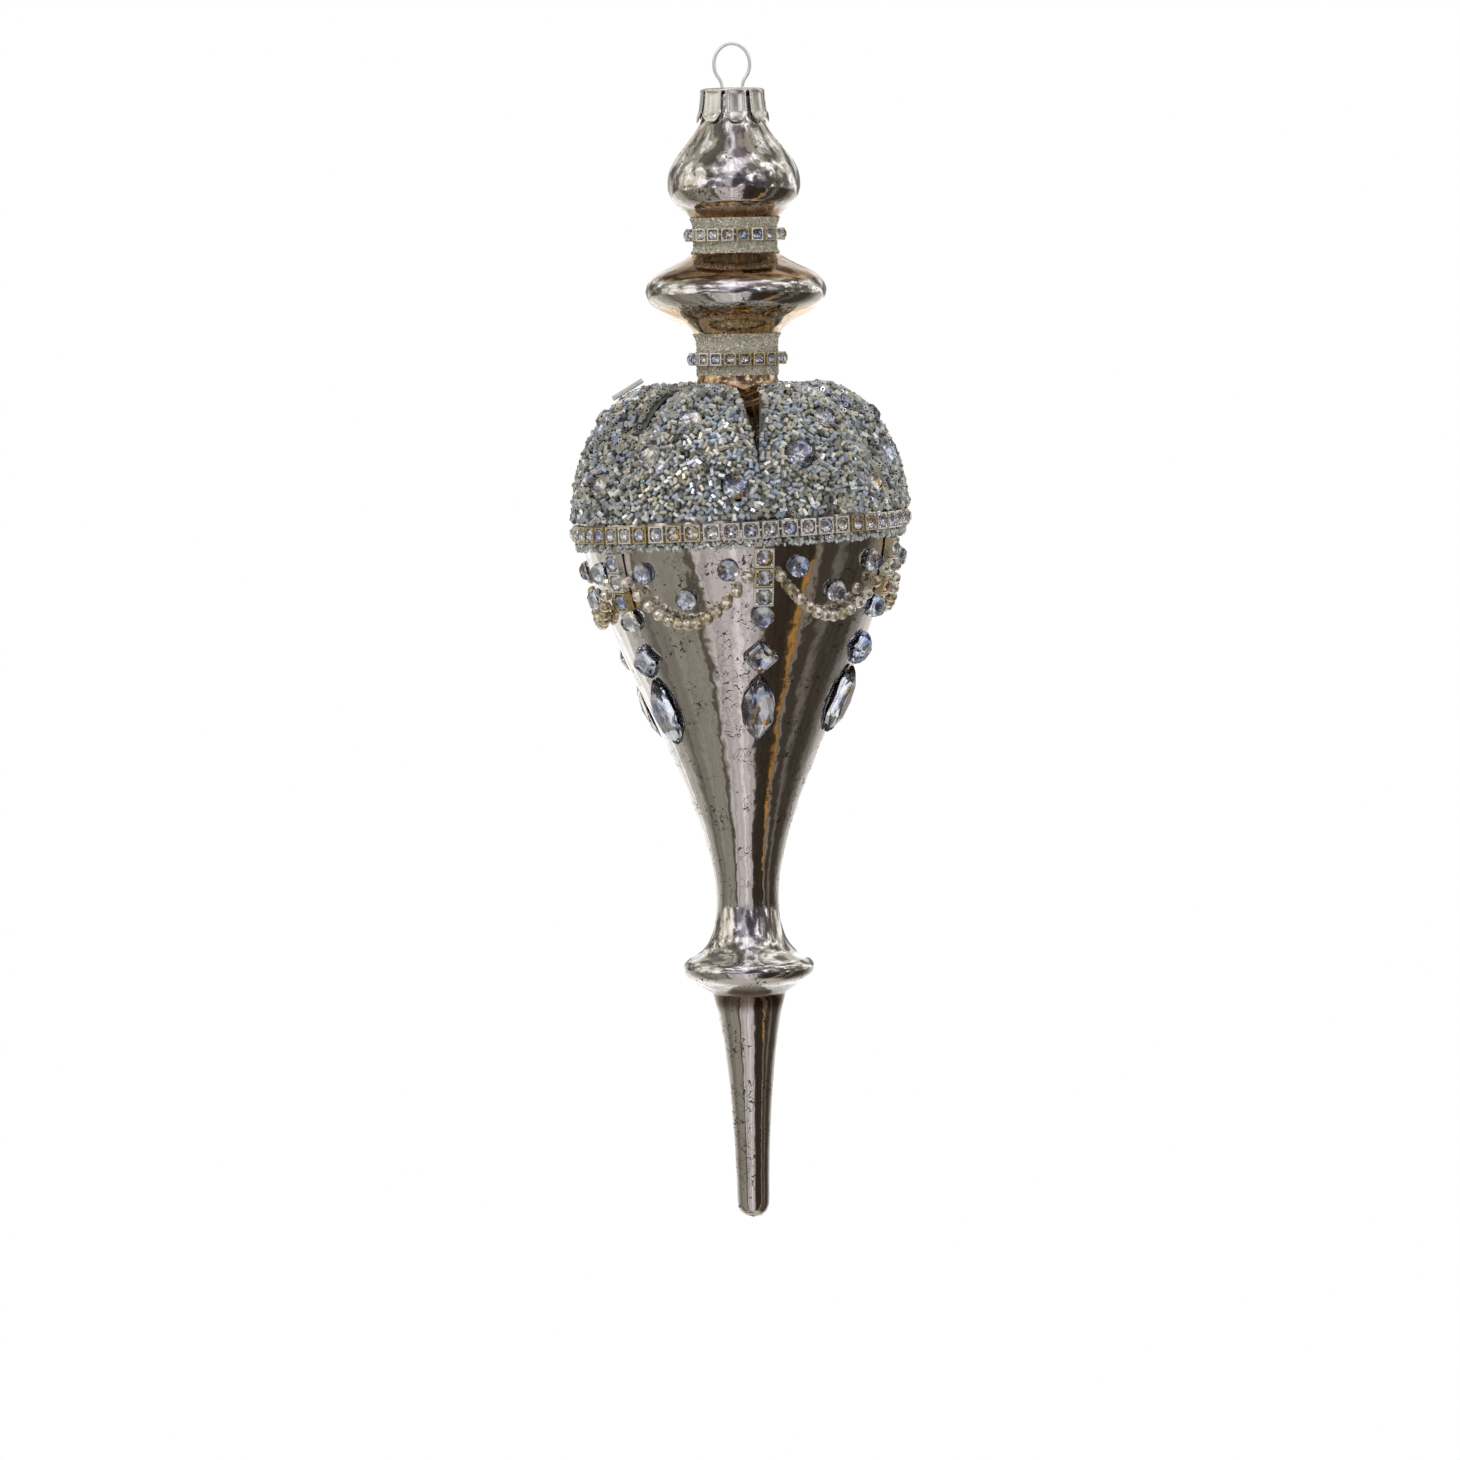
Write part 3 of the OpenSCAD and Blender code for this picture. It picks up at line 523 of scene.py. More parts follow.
def tonedMetal(name, stops, metallic, roughness, grainMm, bumpMm):
    # One finish in several tones: each bead or grain takes its own from the tone attribute.
    material, shader = newMaterial(name, Metallic=metallic)
    place = addNode(material, "TexCoord").outputs["Object"]
    tone = addNode(material, "Attribute", {"attribute_name": "tone"}).outputs["Fac"]
    tint = rampStops(addNode(material, "ValToRGB", links={"Fac": tone}), stops)
    grain = addNode(material, "TexNoise", {"Scale": 1000 / grainMm, "Detail": 3.0}, {"Vector": place})
    mottle = addNode(material, "MapRange", {"To Min": 0.75, "To Max": 1.15}, {"Value": grain})
    colour = addNode(material, "VectorMath", {"operation": "SCALE"}, {0: tint, "Scale": mottle})
    rough = addNode(material, "MapRange", {"To Min": roughness * 0.6, "To Max": roughness * 1.4},
                    {"Value": grain})
    bump = addNode(material, "Bump", {"Strength": 0.3, "Distance": mm(bumpMm)}, {"Height": grain})
    linkInputs(material, shader, {"Base Color": colour, "Roughness": rough, "Normal": bump})
    return material


shell = blowGlass()
print("blown glass faces", len(shell.data.polygons))
shell.data.materials.append(finishSilveredGlass())
stands(shell, "silvered_glass", "glass_shell")

# Wire: drawn spring steel, pale grey and softly bright.
print("wire loop and cap")
springWire = tonedMetal("drawn spring steel", [(0, "#DCDDDA"), (1, "#E8E8E6")], 0.6, 0.45, 3.0, 0.002)
wire = {"d": 0.7, "eyeW": 7.9, "eyeL": 8.9, "loopH": 8.5, "neck": 4, "legs": 15, "splay": 8}


def bendWire():
    # One length of spring wire: up a splayed leg, out of the cap, round the eye and down again.
    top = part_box("wire_loop")[1].z * 1000
    halfW, halfL = (wire["eyeW"] - wire["d"]) / 2, (wire["eyeL"] - wire["d"]) / 2
    eyeZ = top - wire["eyeL"] / 2
    slope = math.tan(math.radians(wire["splay"]))
    leg = [(-wire["neck"] / 2 - slope * (drop - 0.2), top - wire["loopH"] - drop)
           for drop in (wire["legs"], wire["legs"] * 0.66, wire["legs"] * 0.33, 1, 0.2)]
    points = leg + [(-halfW * math.cos(math.radians(a)), eyeZ + halfL * math.sin(math.radians(a)))
                    for a in range(-50, 231, 14)]
    points += [(-x, z) for x, z in reversed(leg)]
    path = bpy.data.curves.new("wireLoop", "CURVE")
    path.dimensions = "3D"
    path.bevel_depth = mm(wire["d"] / 2)
    path.bevel_resolution = 3
    path.resolution_u = 4
    path.use_fill_caps = True
    spline = path.splines.new("NURBS")
    spline.points.add(len(points) - 1)
    spline.order_u = 4
    spline.use_endpoint_u = True
    for point, (x, z) in zip(spline.points, points):
        point.co = (mm(x), 0, mm(z), 1)
    loop = bpy.data.objects.new("wireLoop", path)
    scene.collection.objects.link(loop)
    makeActive(loop)
    bpy.ops.object.convert(target="MESH")
    loop = settle(bpy.context.object, "wireLoop")
    bpy.ops.object.shade_smooth()
    loop.data.materials.clear()
    loop.data.materials.append(springWire)
    setTone(loop.data, 0.6)
    return loop


stands(bendWire(), "loop_wire", "wire_loop", body="hanger")

# Cap: stamped, silver-plated tin, bright with soft dents.
capMetal = tonedMetal("silver-plated tin", [(0, "#DEDBD4"), (0.5, "#EAE8E2"), (1, "#FFFFFF")],
                      0.85, 0.22, 1.3, 0.08)
cap = {"topD": 12.9, "tipD": 14.7, "sheet": 0.3, "height": 6.9, "crown": 0.35, "petals": 8, "columns": 12,
       "rows": 9, "firstPetal": 6, "rim": 0.3, "sunkIn": 0.35, "sunkDeep": 0.22, "holeGap": 3.9, "holeD": 1.1,
       "corner": (2.0, 1.15, 0.55, 0.15),
       "dome": ((6.33, 0.22), (6.0, 0.34), (5.2, 0.32), (3.6, 0.3), (1.4, 0.3))}


def stampCap():
    # A cup of sheet metal: the skirt is slit into petals with clipped corners and sunk middles.
    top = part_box("cap")[1].z
    count, half = cap["petals"] * cap["columns"], cap["columns"] / 2
    skirt = mm(cap["height"] - cap["crown"])
    deselectAll()
    middle = top - mm(cap["crown"]) - skirt / 2
    bpy.ops.mesh.primitive_cylinder_add(vertices=count, radius=mm(cap["topD"] / 2), depth=skirt,
                                        end_fill_type="NOTHING", location=(0, 0, middle),
                                        rotation=(0, 0, math.radians(cap["firstPetal"])))
    cup = settle(bpy.context.object, "capCrown")
    editMesh(cup)
    pick(cup, "edges", lambda edge: abs(edge.verts[0].co.z - edge.verts[1].co.z) > mm(1))
    bpy.ops.mesh.subdivide(number_cuts=cap["rows"] - 1)
    mesh = bmesh.from_edit_mesh(cup.data)
    low = min(v.co.z for v in mesh.verts)
    high = max(v.co.z for v in mesh.verts)
    step = (high - low) / cap["rows"]

    def column(at):
        # Counted round the cap from the middle of a petal, in columns, from -6 to 6.
        angle = math.degrees(math.atan2(at.x, -at.y)) - cap["firstPetal"]
        return (angle / (360 / count) + half) % cap["columns"] - half

    for level in range(1, cap["rows"] + 1):    # the skirt flares
        z = high - (high - low) * level / cap["rows"]
        pick(cup, "verts", lambda v: abs(v.co.z - z) < mm(0.1))
        flare = 1 + (cap["tipD"] / cap["topD"] - 1) * (level / cap["rows"]) ** 1.3
        bpy.ops.transform.resize(value=(flare, flare, 1), center_override=(0, 0, z))
    bpy.ops.mesh.select_all(action="DESELECT")

    def inSlit(face):
        at = face.calc_center_median()
        return abs(column(at)) > half - 1 and at.z < high - mm(0.5)

    pick(cup, "faces", inSlit)
    bpy.ops.mesh.delete(type="FACE")
    pick(cup, "verts", lambda v: abs(v.co.z - high + step) < mm(0.1))    # the slits start just under the rim
    bpy.ops.transform.translate(value=(0, 0, step - mm(cap["rim"])))
    bpy.ops.mesh.select_all(action="DESELECT")
    mesh = bmesh.from_edit_mesh(cup.data)
    for v in mesh.verts:                       # the clipped corners of each petal
        place = round(abs(column(v.co)))
        if place >= 2:
            clip = mm(cap["corner"][min(3, 5 - place)])
            share = max(0, 1 - (v.co.z - low) / (3 * step))
            v.co.z += clip * share

    def inPetal(face):
        at = face.calc_center_median()
        return abs(column(at)) < 4 and low + 1.6 * step < at.z < high - 0.9 * step

    pick(cup, "faces", inPetal)
    bpy.ops.mesh.inset(thickness=mm(cap["sunkIn"]), depth=-mm(cap["sunkDeep"]))
    bpy.ops.mesh.select_all(action="DESELECT")
    pick(cup, "verts", lambda v: v.co.z > high - mm(0.01))
    last, z = cap["topD"] / 2, high
    for radius, rise in cap["dome"]:
        bpy.ops.mesh.extrude_region_move(TRANSFORM_OT_translate={"value": (0, 0, high + mm(rise) - z)})
        z = high + mm(rise)
        bpy.ops.transform.resize(value=(radius / last, radius / last, 1), center_override=(0, 0, z))
        last = radius
    bpy.ops.mesh.extrude_region_move()
    bpy.ops.mesh.merge(type="CENTER")
    objectMode()
    tidyNormals(cup)
    applyModifier(cup, "SOLIDIFY", thickness=mm(cap["sheet"]), offset=-1)
    applyModifier(cup, "SUBSURF", levels=1, render_levels=1)
    deselectAll()
    punches = []
    for side in (-1, 1):
        bpy.ops.mesh.primitive_cylinder_add(vertices=16, radius=mm(cap["holeD"] / 2), depth=mm(3),
                                            location=(side * mm(cap["holeGap"] / 2), 0, top))
        punches.append(bpy.context.object)
    punch = joined(punches, "punch")
    applyModifier(cup, "BOOLEAN", object=punch, operation="DIFFERENCE")
    stow(punch)
    makeActive(cup)
    bpy.ops.object.shade_smooth_by_angle(angle=math.radians(40))
    cup.data.materials.clear()
    cup.data.materials.append(capMetal)
    setTone(cup.data, 0.5)
    return cup


stands(stampCap(), "cap_metal", "cap", body="crown")


# Cut stones: foil-backed crystal. The crown and table are glass, and a faceted foil lies inside.
print("cut stones")


def finishCrystal():
    # Cut lead crystal: clear and faintly blue, with a high index that throws light back off its foil.
    material, shader = newMaterial("cut crystal", Roughness=0.02, IOR=1.56, Transmission_Weight=1.0)
    place = addNode(material, "TexCoord").outputs["Object"]
    tone = addNode(material, "Attribute", {"attribute_name": "tone"}).outputs["Fac"]
    tint = rampStops(addNode(material, "ValToRGB", links={"Fac": tone}),
                     [(0, "#FFFFFF"), (0.4, "#F8FAFF"), (0.85, "#DDE7FC"), (1, "#FFF6EA")])
    polish = addNode(material, "TexNoise", {"Scale": 1000 / 0.8, "Detail": 2.0}, {"Vector": place})
    bump = addNode(material, "Bump", {"Strength": 0.1, "Distance": mm(0.01)}, {"Height": polish})
    linkInputs(material, shader, {"Base Color": tint, "Normal": bump})
    return material


def finishFoil():
    # Vacuum-silvered foil on the pavilion: a mirror with blue, clear and a few warm panes, whose tints are
    # painted reflections of the room in the facets.
    material, shader = newMaterial("silver foil", Metallic=0.95, Roughness=0.09)
    place = addNode(material, "TexCoord").outputs["Object"]
    pane = addNode(material, "TexVoronoi", {"Scale": 1000 / 1.4}, {"Vector": place})
    chance = addNode(material, "SeparateColor", links={"Color": pane.outputs["Color"]}).outputs["Green"]
    # The panes' blue and warm tints are painted reflections.
    tint = rampStops(addNode(material, "ValToRGB", links={"Fac": chance}),
                     [(0, "#FFFFFF"), (0.3, "#E2E9FA"), (0.5, "#FFFFFF"), (0.82, "#BCCBF0"),
                      (0.93, "#F4CC96")], "CONSTANT")
    linkInputs(material, shader, {"Base Color": tint})
    return material


crystal = finishCrystal()
foil = finishFoil()


def hullOf(rows, name, stretch=1, tip=0):
    # Rows of points, each (corners, radius, height, turn), are wrapped in flat facets. A stretch and a
    # tip draw the rows out along X into a pointed stone.
    deselectAll()
    stone = None
    for corners, radius, height, turn in rows:
        bpy.ops.mesh.primitive_circle_add(vertices=corners, radius=radius, location=(0, 0, height))
        if not stone:
            stone = settle(bpy.context.object, name)
            editMesh(stone, "SELECT")
        if turn:
            bpy.ops.transform.rotate(value=math.radians(turn), orient_axis="Z",
                                     center_override=(0, 0, height))
        if stretch != 1:
            bpy.ops.transform.resize(value=(stretch, 1, 1), center_override=(0, 0, height))
            mesh = bmesh.from_edit_mesh(stone.data)
            ring = [v for v in mesh.verts if v.select]
            reach = max(v.co.x for v in ring)
            for v in ring:
                if abs(v.co.x) > reach - 1e-7:
                    v.co.x += math.copysign(tip * radius, v.co.x)
        bpy.ops.mesh.select_all(action="DESELECT")
    bpy.ops.mesh.select_all(action="SELECT")
    bpy.ops.mesh.convex_hull(delete_unused=True, use_existing_faces=False, join_triangles=True,
                             face_threshold=math.radians(3), shape_threshold=math.radians(30))
    bpy.ops.mesh.normals_make_consistent(inside=False)
    objectMode()
    return stone


def setInFoil(crown, dish, name):
    # The foil is an open dish, and both lie in one piece.
    editMesh(dish)
    pick(dish, "faces", lambda face: face.normal.z > 0.9)
    bpy.ops.mesh.delete(type="FACE")
    objectMode()
    for part in (crown, dish):
        part.data.materials.append(crystal)
        part.data.materials.append(foil)
    for face in dish.data.polygons:
        face.material_index = 1
    return joined([crown, dish], name)


def cutStone(name, radius, height, sides, stretch=1, tip=0, girdle=0.3):
    # The crown with its girdle, then the foil dish inside it.
    half = 180 / sides
    crown = hullOf([(2 * sides, radius, 0, 0), (2 * sides, radius, girdle * height, 0),
                    (sides, radius * 0.86, height * 0.66, half), (sides, radius * 0.56, height, 0)],
                   name, stretch, tip)
    dish = hullOf([(2 * sides, radius * 0.93, girdle * height * 0.9, half),
                   (sides, radius * 0.5, height * 0.14, 0), (sides, radius * 0.12, height * 0.05, half)],
                  name + "Foil", stretch, tip * 0.9)
    return setInFoil(crown, dish, name)


def squareStone(name, width, height):
    # A square set on its corner. Two squares turned a little each way clip the corners.
    def clipped(rows):
        return [(4, width * 0.69 * radius, height * z, turn) for radius, z in rows for turn in (-6, 6)]

    crown = hullOf(clipped([(1, 0), (1, 0.32), (0.84, 0.68), (0.56, 1)]), name)
    dish = hullOf(clipped([(0.93, 0.28), (0.5, 0.12), (0.1, 0.05)]), name + "Foil")
    return setInFoil(crown, dish, name)


# A square cup's proportions, as shares of its width, or of its height where the name ends in H. The
# claws' rise is a share of their own radius, and the gem's girdle one of the gem's height.
chaton = {"corner": 0.16, "rim": 0.09, "recessH": 0.55, "claw": 0.09, "clawAt": 0.36, "clawRise": 0.1,
          "linkH": 0.16, "linkL": 0.3, "linkAtH": 0.4, "gemR": 0.41, "gemTall": 0.36, "gemGirdle": 0.35,
          "gemAtH": 0.62}


def makeChaton(name, width, height):
    # A square cup: bevelled, recessed for its stone, with a claw at each corner and a link to the next.
    claw = width * chaton["claw"]
    deselectAll()
    bpy.ops.mesh.primitive_cube_add(size=1, location=(0, 0, height / 2), scale=(width, width, height))
    cup = settle(bpy.context.object, name)
    editMesh(cup)
    pick(cup, "edges", lambda edge: abs(edge.verts[0].co.z - edge.verts[1].co.z) > height / 2)
    bpy.ops.mesh.bevel(offset=width * chaton["corner"], segments=2, affect="EDGES")
    editMesh(cup)
    pick(cup, "faces", lambda face: face.normal.z > 0.9)
    bpy.ops.mesh.inset(thickness=width * chaton["rim"], depth=0)
    bpy.ops.mesh.extrude_region_move(TRANSFORM_OT_translate={"value": (0, 0, -height * chaton["recessH"])})
    objectMode()
    parts = [cup]
    corner, clawZ = width * chaton["clawAt"], height + claw * chaton["clawRise"]
    for x, y in ((1, 1), (-1, 1), (-1, -1), (1, -1)):
        deselectAll()
        bpy.ops.mesh.primitive_ico_sphere_add(subdivisions=1, radius=claw,
                                              location=(x * corner, y * corner, clawZ))
        parts.append(bpy.context.object)
    deselectAll()
    bpy.ops.mesh.primitive_cylinder_add(vertices=6, radius=height * chaton["linkH"],
                                        depth=width * chaton["linkL"], rotation=(math.pi / 2, 0, 0),
                                        location=(0, width * 0.5, height * chaton["linkAtH"]))
    parts.append(bpy.context.object)
    return joined(parts, name)


cupMetal = tonedMetal("gilt brass", [(0, "#CDB684"), (0.2, "#DACCA8"), (0.55, "#ECE6D8"), (1, "#FAF8F2")],
                      0.72, 0.27, 0.8, 0.03)


def ringPlaces(count, radius, z, tilt, seed):
    dice = random.Random(seed)
    lean = Matrix.Rotation(math.radians(-tilt), 4, "Y")
    places = []
    for i in range(count):
        outward = turned((i + 0.5) * 360 / count, 1, 0)
        place = placeFrom(outward * radius, Vector((0, 0, -1)), outward)
        places.append((Matrix.Translation((0, 0, mm(z))) @ lean @ place, dice.random()))
    return places


def setChain(places, width, height, name, cupNode, stoneNode):
    # The cups, then a stone in each.
    model = makeChaton("cupModel", mm(width), mm(height))
    model.data.materials.append(cupMetal)
    cups = copiesJoined(model, places, name + "Cups")
    stow(model)
    gem = cutStone("gemModel", mm(width * chaton["gemR"]), mm(width * chaton["gemTall"]), 6,
                   girdle=chaton["gemGirdle"])
    dice = random.Random(name)
    seat = Matrix.Translation((0, 0, mm(height * chaton["gemAtH"])))
    lifted = [(place @ seat @ Matrix.Rotation(dice.random(), 4, "Z"), dice.random())
              for place, tone in places]
    stones = copiesJoined(gem, lifted, name + "Stones")
    stow(gem)
    stands(cups, "cup_metal", cupNode)
    stands(stones, "crystal", stoneNode)


print("chains of cups")
sleeveT = 2 * trim["glueGap"] + trim["glitterT"] + trim["ringCupW"] * 0.1
rings = [("upper", upperR + sleeveT, upperWaistZ - glass["upperWaistL"] / 6, 3),
         ("lower", lowerR + sleeveT, (lowerWaistZ + lowerWaistEndZ) / 2, 4)]
for which, radius, z, seed in rings:
    setChain(ringPlaces(trim["ringCups"], radius, z, 0, seed), trim["ringCupW"], trim["ringCupH"],
             which + "Ring", which + "_ring_cups", which + "_ring_stones")
beltR = bodyR + trim["glueGap"]
beltSunk = 0.1     # the belt's cups stand this much closer to the glass than the glue gap leaves them
setChain(ringPlaces(trim["beltCups"], beltR - beltSunk, beltZ, trim["tilt"], 5), trim["beltCupW"],
         trim["beltCupH"], "belt", "belt_cups", "belt_stones")

# Posts: three larger cups down each crease, hung from the belt's edging.
postTopZ = beltZ - trim["beltCupW"] / 2 - trim["edgingH"] - 2 * trim["glueGap"]


def postZ(azimuth, k):
    if k == 0:
        return stepDown(azimuth, postTopZ + trimRise(azimuth), trim["postCupW"] / 2)
    return stepDown(azimuth, postZ(azimuth, k - 1), trim["postCupW"] + trim["postGap"])


def dropZ(azimuth, which):
    # The round stone is 0, the square one 1 and the pointed one 2.
    corner = trim["dropSquareW"] * math.sqrt(0.5)
    steps = [trim["postCupW"] / 2 + trim["dropGap"] + trim["dropRoundD"] / 2,
             trim["dropRoundD"] / 2 + trim["dropLink"] + corner,
             corner + 2 * trim["dropGap"] + trim["navetteL"] / 2]
    z = postZ(azimuth, trim["postCups"] - 1)
    for step in steps[:which + 1]:
        z = stepDown(azimuth, z, step)
    return z


lobeNumbers = range(1, glass["lobes"] + 1)
for i in lobeNumbers:
    dice = random.Random(100 + i)
    azimuth = creaseAzimuth(i)
    quarter = Matrix.Rotation(math.pi / 2, 4, "Z")
    places = [(skinPlace(azimuth, postZ(azimuth, k), 2 * trim["glueGap"]) @ quarter, dice.random())
              for k in range(trim["postCups"])]
    setChain(places, trim["postCupW"], trim["postCupH"], f"post{i}", f"post_cups_{i}", f"post_stones_{i}")

# Glued stones on the shoulder, in the panels and down the drops. Each has its turn from the middle of
# the lobe and its drop, and a shoulder stone its share of the full size.
print("glued stones")
shoulderStones = [(-14, 0.557, 1), (1, 0.316, 0.83), (20, 0.766, 0.9)]
panelStones = [(-17, 0.845), (0, 1.445), (17, 0.845)]
roundModels = {}


def roundModel(diameter, height):
    key = (diameter, height)
    if key not in roundModels:
        roundModels[key] = cutStone("roundModel", mm(diameter / 2), mm(height), 8)
    return roundModels[key]


def shoulderPlace(i, turn, drop, lift=0):
    return skinPlace(lobeAzimuth(i) + turn, lowerWaistEndZ - drop * glass["shoulderH"], lift)


def spun(place, dice):
    return (place @ Matrix.Rotation(dice.random(), 4, "Z"), dice.random())


squareModel = squareStone("squareModel", mm(trim["dropSquareW"]), mm(trim["stoneH"]))
navetteModel = cutStone("navetteModel", mm(trim["navetteW"] / 2), mm(trim["stoneH"]), 6,
                        stretch=trim["navetteL"] / trim["navetteW"] * 0.86, tip=0.3)
for i in lobeNumbers:
    dice = random.Random(200 + i)
    parts = []
    for turn, drop, share in shoulderStones:
        place = shoulderPlace(i, turn, drop, trim["glueGap"])
        model = roundModel(share * trim["shoulderStoneD"], trim["shoulderStoneH"])
        parts.append(copiesJoined(model, [spun(place, dice)], "stone"))
    stands(joined(parts, f"shoulderStones{i}"), "crystal", f"shoulder_stones_{i}")
    places = []
    for turn, drop in panelStones:
        azimuth = lobeAzimuth(i) + turn
        z = beltZ - drop * trim["swagEndDrop"] + trimRise(azimuth)
        places.append(spun(skinPlace(azimuth, z, trim["glueGap"]), dice))
    stones = copiesJoined(roundModel(trim["panelStoneD"], trim["stoneH"]), places, f"panelStones{i}")
    stands(stones, "crystal", f"panel_stones_{i}")
    azimuth = creaseAzimuth(i)
    parts = []
    models = (roundModel(trim["dropRoundD"], trim["stoneH"]), squareModel, navetteModel)
    for which, model in enumerate(models):
        place = skinPlace(azimuth, dropZ(azimuth, which), 2 * trim["glueGap"])
        parts.append(copiesJoined(model, [(place, dice.random())], "stone"))
    stands(joined(parts, f"dropStones{i}"), "crystal", f"drop_stones_{i}")
for model in [*roundModels.values(), squareModel, navetteModel]:
    stow(model)

# Beads: the sizes of a seed bead, how close they lie, and where the one long bugle bead stands. They
# lean up from lying flat by the least, the most and the likeliest of three angles.
print("bead models")
bead = {"radius": 0.56, "length": 1.35, "bore": 0.26, "spacing": 0.84, "tries": 16000,
        "lift": (0.7, 1.1), "lean": (0, 38, 8), "scale": (0.8, 1.08), "stretch": (0.75, 1.15),
        "stoneGap": 0.3, "bugleLobe": 6, "bugleAt": 1.2, "bugleLift": 2.4, "bugleStretch": 5.2}


def makeSeedBead(name, radius, length, bore):
    # A short tube: a six-sided open cylinder given its wall.
    deselectAll()
    bpy.ops.mesh.primitive_cylinder_add(vertices=6, radius=radius, depth=length, end_fill_type="NOTHING")
    tube = settle(bpy.context.object, name)
    applyModifier(tube, "SOLIDIFY", thickness=radius - bore, offset=-1)
    return tube


seedBead = makeSeedBead("seedBead", mm(bead["radius"]), mm(bead["length"]), mm(bead["bore"]))
# The near-white top tones paint glints on some beads; the other tones are the beads' own colours.
beadTonesAndGlints = [(0, "#5C5C56"), (0.1, "#8E908A"), (0.3, "#B4B7B4"), (0.46, "#BCC3CC"), (0.58, "#AAB7CC"),
             (0.66, "#BDB7A4"), (0.8, "#CCC7B6"), (0.9, "#E2E2DE"), (1, "#FAFAF6")]
beadFinish = tonedMetal("silver-lined glass beads", beadTonesAndGlints, 0.6, 0.3, 0.7, 0.02)
seedBead.data.materials.append(beadFinish)

# The coat of beads on each lobe, from the top of its crest down to the belt. It follows the skin down
# to a last height, and runs straight on from there to the belt.
print("bead coats")
coat = {"from": 0.57, "to": 1.985, "last": 1.85, "wide": 0.985, "narrow": 0.4, "bedT": 0.5, "bedAndGapShadeTone": 0.04,
        "edge": 0.955, "edgeEnd": 1.5, "topGirth": 0.35, "fullGirthAt": 1.9}


def coatHalfAngle(v):
    taper = max(0, (1.8 - v) / 1.25) ** 1.5
    return halfLobe * (coat["wide"] - (coat["wide"] - coat["narrow"]) * taper)


def coatPoint(i, v, across, lift):
    # across runs from -1 to 1 over the lobe.
    onLobe = min(v, coat["last"])
    azimuth = lobeAzimuth(i) + coatHalfAngle(onLobe) * across
    share = swell(azimuth)
    r, z = skin(onLobe, share)
    above, below = (skin(onLobe + s * 0.01, share) for s in (-1, 1))
    normal = Vector((above[1] - below[1], below[0] - above[0])).normalized()
    r, z = r + lift * normal.x, z + lift * normal.y
    if v > coat["last"]:
        foot = beltZ + trim["beltCupW"] / 2 + trim["coatBed"] + trimRise(azimuth)
        t = (v - coat["last"]) / (2 - coat["last"])
        r, z = r + t * (bodyR + lift - r), z + t * (foot - z)
    return turned(azimuth, r, z)


def stonesOnLobe(i):
    return [(shoulderPlace(i, turn, drop).translation * 1000, share * trim["shoulderStoneD"] / 2)
            for turn, drop, share in shoulderStones]


def coatBase(i):
    # The bed of glue and crushed glass that the beads sit in, open where the stones are set. Its tone, near
    # the darkest, is the glue's own colour and also painted shade in the gaps between the beads.
    deselectAll()
    bpy.ops.mesh.primitive_grid_add(x_subdivisions=32, y_subdivisions=48, size=2)
    bed = bpy.context.object
    for v in bed.data.vertices:
        v.co = coatPoint(i, 1.275 - 0.72 * v.co.y, 1.012 * v.co.x, trim["coatBed"]) / 1000
    stones = stonesOnLobe(i)

    def underStone(face):
        at = face.calc_center_median() * 1000
        return any((at - centre).length < radius for centre, radius in stones)

    editMesh(bed)
    pick(bed, "faces", underStone)
    bpy.ops.mesh.delete(type="FACE")
    objectMode()
    tidyNormals(bed)
    outward = bed.data.polygons[0].normal.dot(turned(lobeAzimuth(i), 1, 0.5)) > 0
    applyModifier(bed, "SOLIDIFY", thickness=mm(coat["bedT"]), offset=1 if outward else -1)
    return bed


def strewPattern(seed):
    # Where beads lie on a lobe, as (v, across), kept a bead apart and clear of the stones.
    dice = random.Random(seed)
    taken = {}
    spots = []
    stones = stonesOnLobe(1)
    for _ in range(bead["tries"]):
        v, across = dice.uniform(coat["from"], coat["to"]), dice.uniform(-1, 1)
        if abs(across) > coat["edge"] and v < coat["edgeEnd"]:
            continue
        # The coat is narrower and nearer the axis at its top, so fewer of the spots there are kept.
        width = coatHalfAngle(min(v, coat["last"])) / halfLobe
        girth = coat["topGirth"] + (1 - coat["topGirth"]) * min(1, v / coat["fullGirthAt"])
        if dice.random() > width * girth:
            continue
        low = coatPoint(1, v, across, trim["coatBed"])
        cell = tuple(int(c // bead["spacing"]) for c in low)
        near = [p for a in (-1, 0, 1) for b in (-1, 0, 1) for c in (-1, 0, 1)
                for p in taken.get((cell[0] + a, cell[1] + b, cell[2] + c), [])]
        if any((p - low).length < bead["spacing"] for p in near):
            continue
        if any((low - centre).length < radius + bead["stoneGap"] for centre, radius in stones):
            continue
        taken.setdefault(cell, []).append(low)
        spots.append((v, across))
    return spots


def beadPlaces(i, spots):
    dice = random.Random(300 + i)
    places = []
    for v, across in spots:
        low = coatPoint(i, v, across, trim["coatBed"])
        normal = (coatPoint(i, v, across, trim["coatBed"] + 1) - low).normalized()
        along = coatPoint(i, v + 0.01, across, 0.3) - coatPoint(i, v - 0.01, across, 0.3)
        place = placeFrom(low + normal * dice.uniform(*bead["lift"]), along, normal)
        turn = Matrix.Rotation(dice.uniform(0, 2 * math.pi), 4, "Z")
        lean = Matrix.Rotation(math.radians(90 - dice.triangular(*bead["lean"])), 4, "Y")
        size = dice.uniform(*bead["scale"])
        stretch = Matrix.Diagonal((size, size, size * dice.uniform(*bead["stretch"]), 1))
        places.append((place @ turn @ lean @ stretch, dice.random()))
    if i == bead["bugleLobe"]:                 # one long bugle bead stands out of the coat
        place = placeFrom(coatPoint(i, bead["bugleAt"], 0, bead["bugleLift"]), Vector((0, 1, 0)),
                          turned(lobeAzimuth(i), -0.85, 0.5))
        places.append((place @ Matrix.Diagonal((0.9, 0.9, bead["bugleStretch"], 1)), 1.0))
    return places


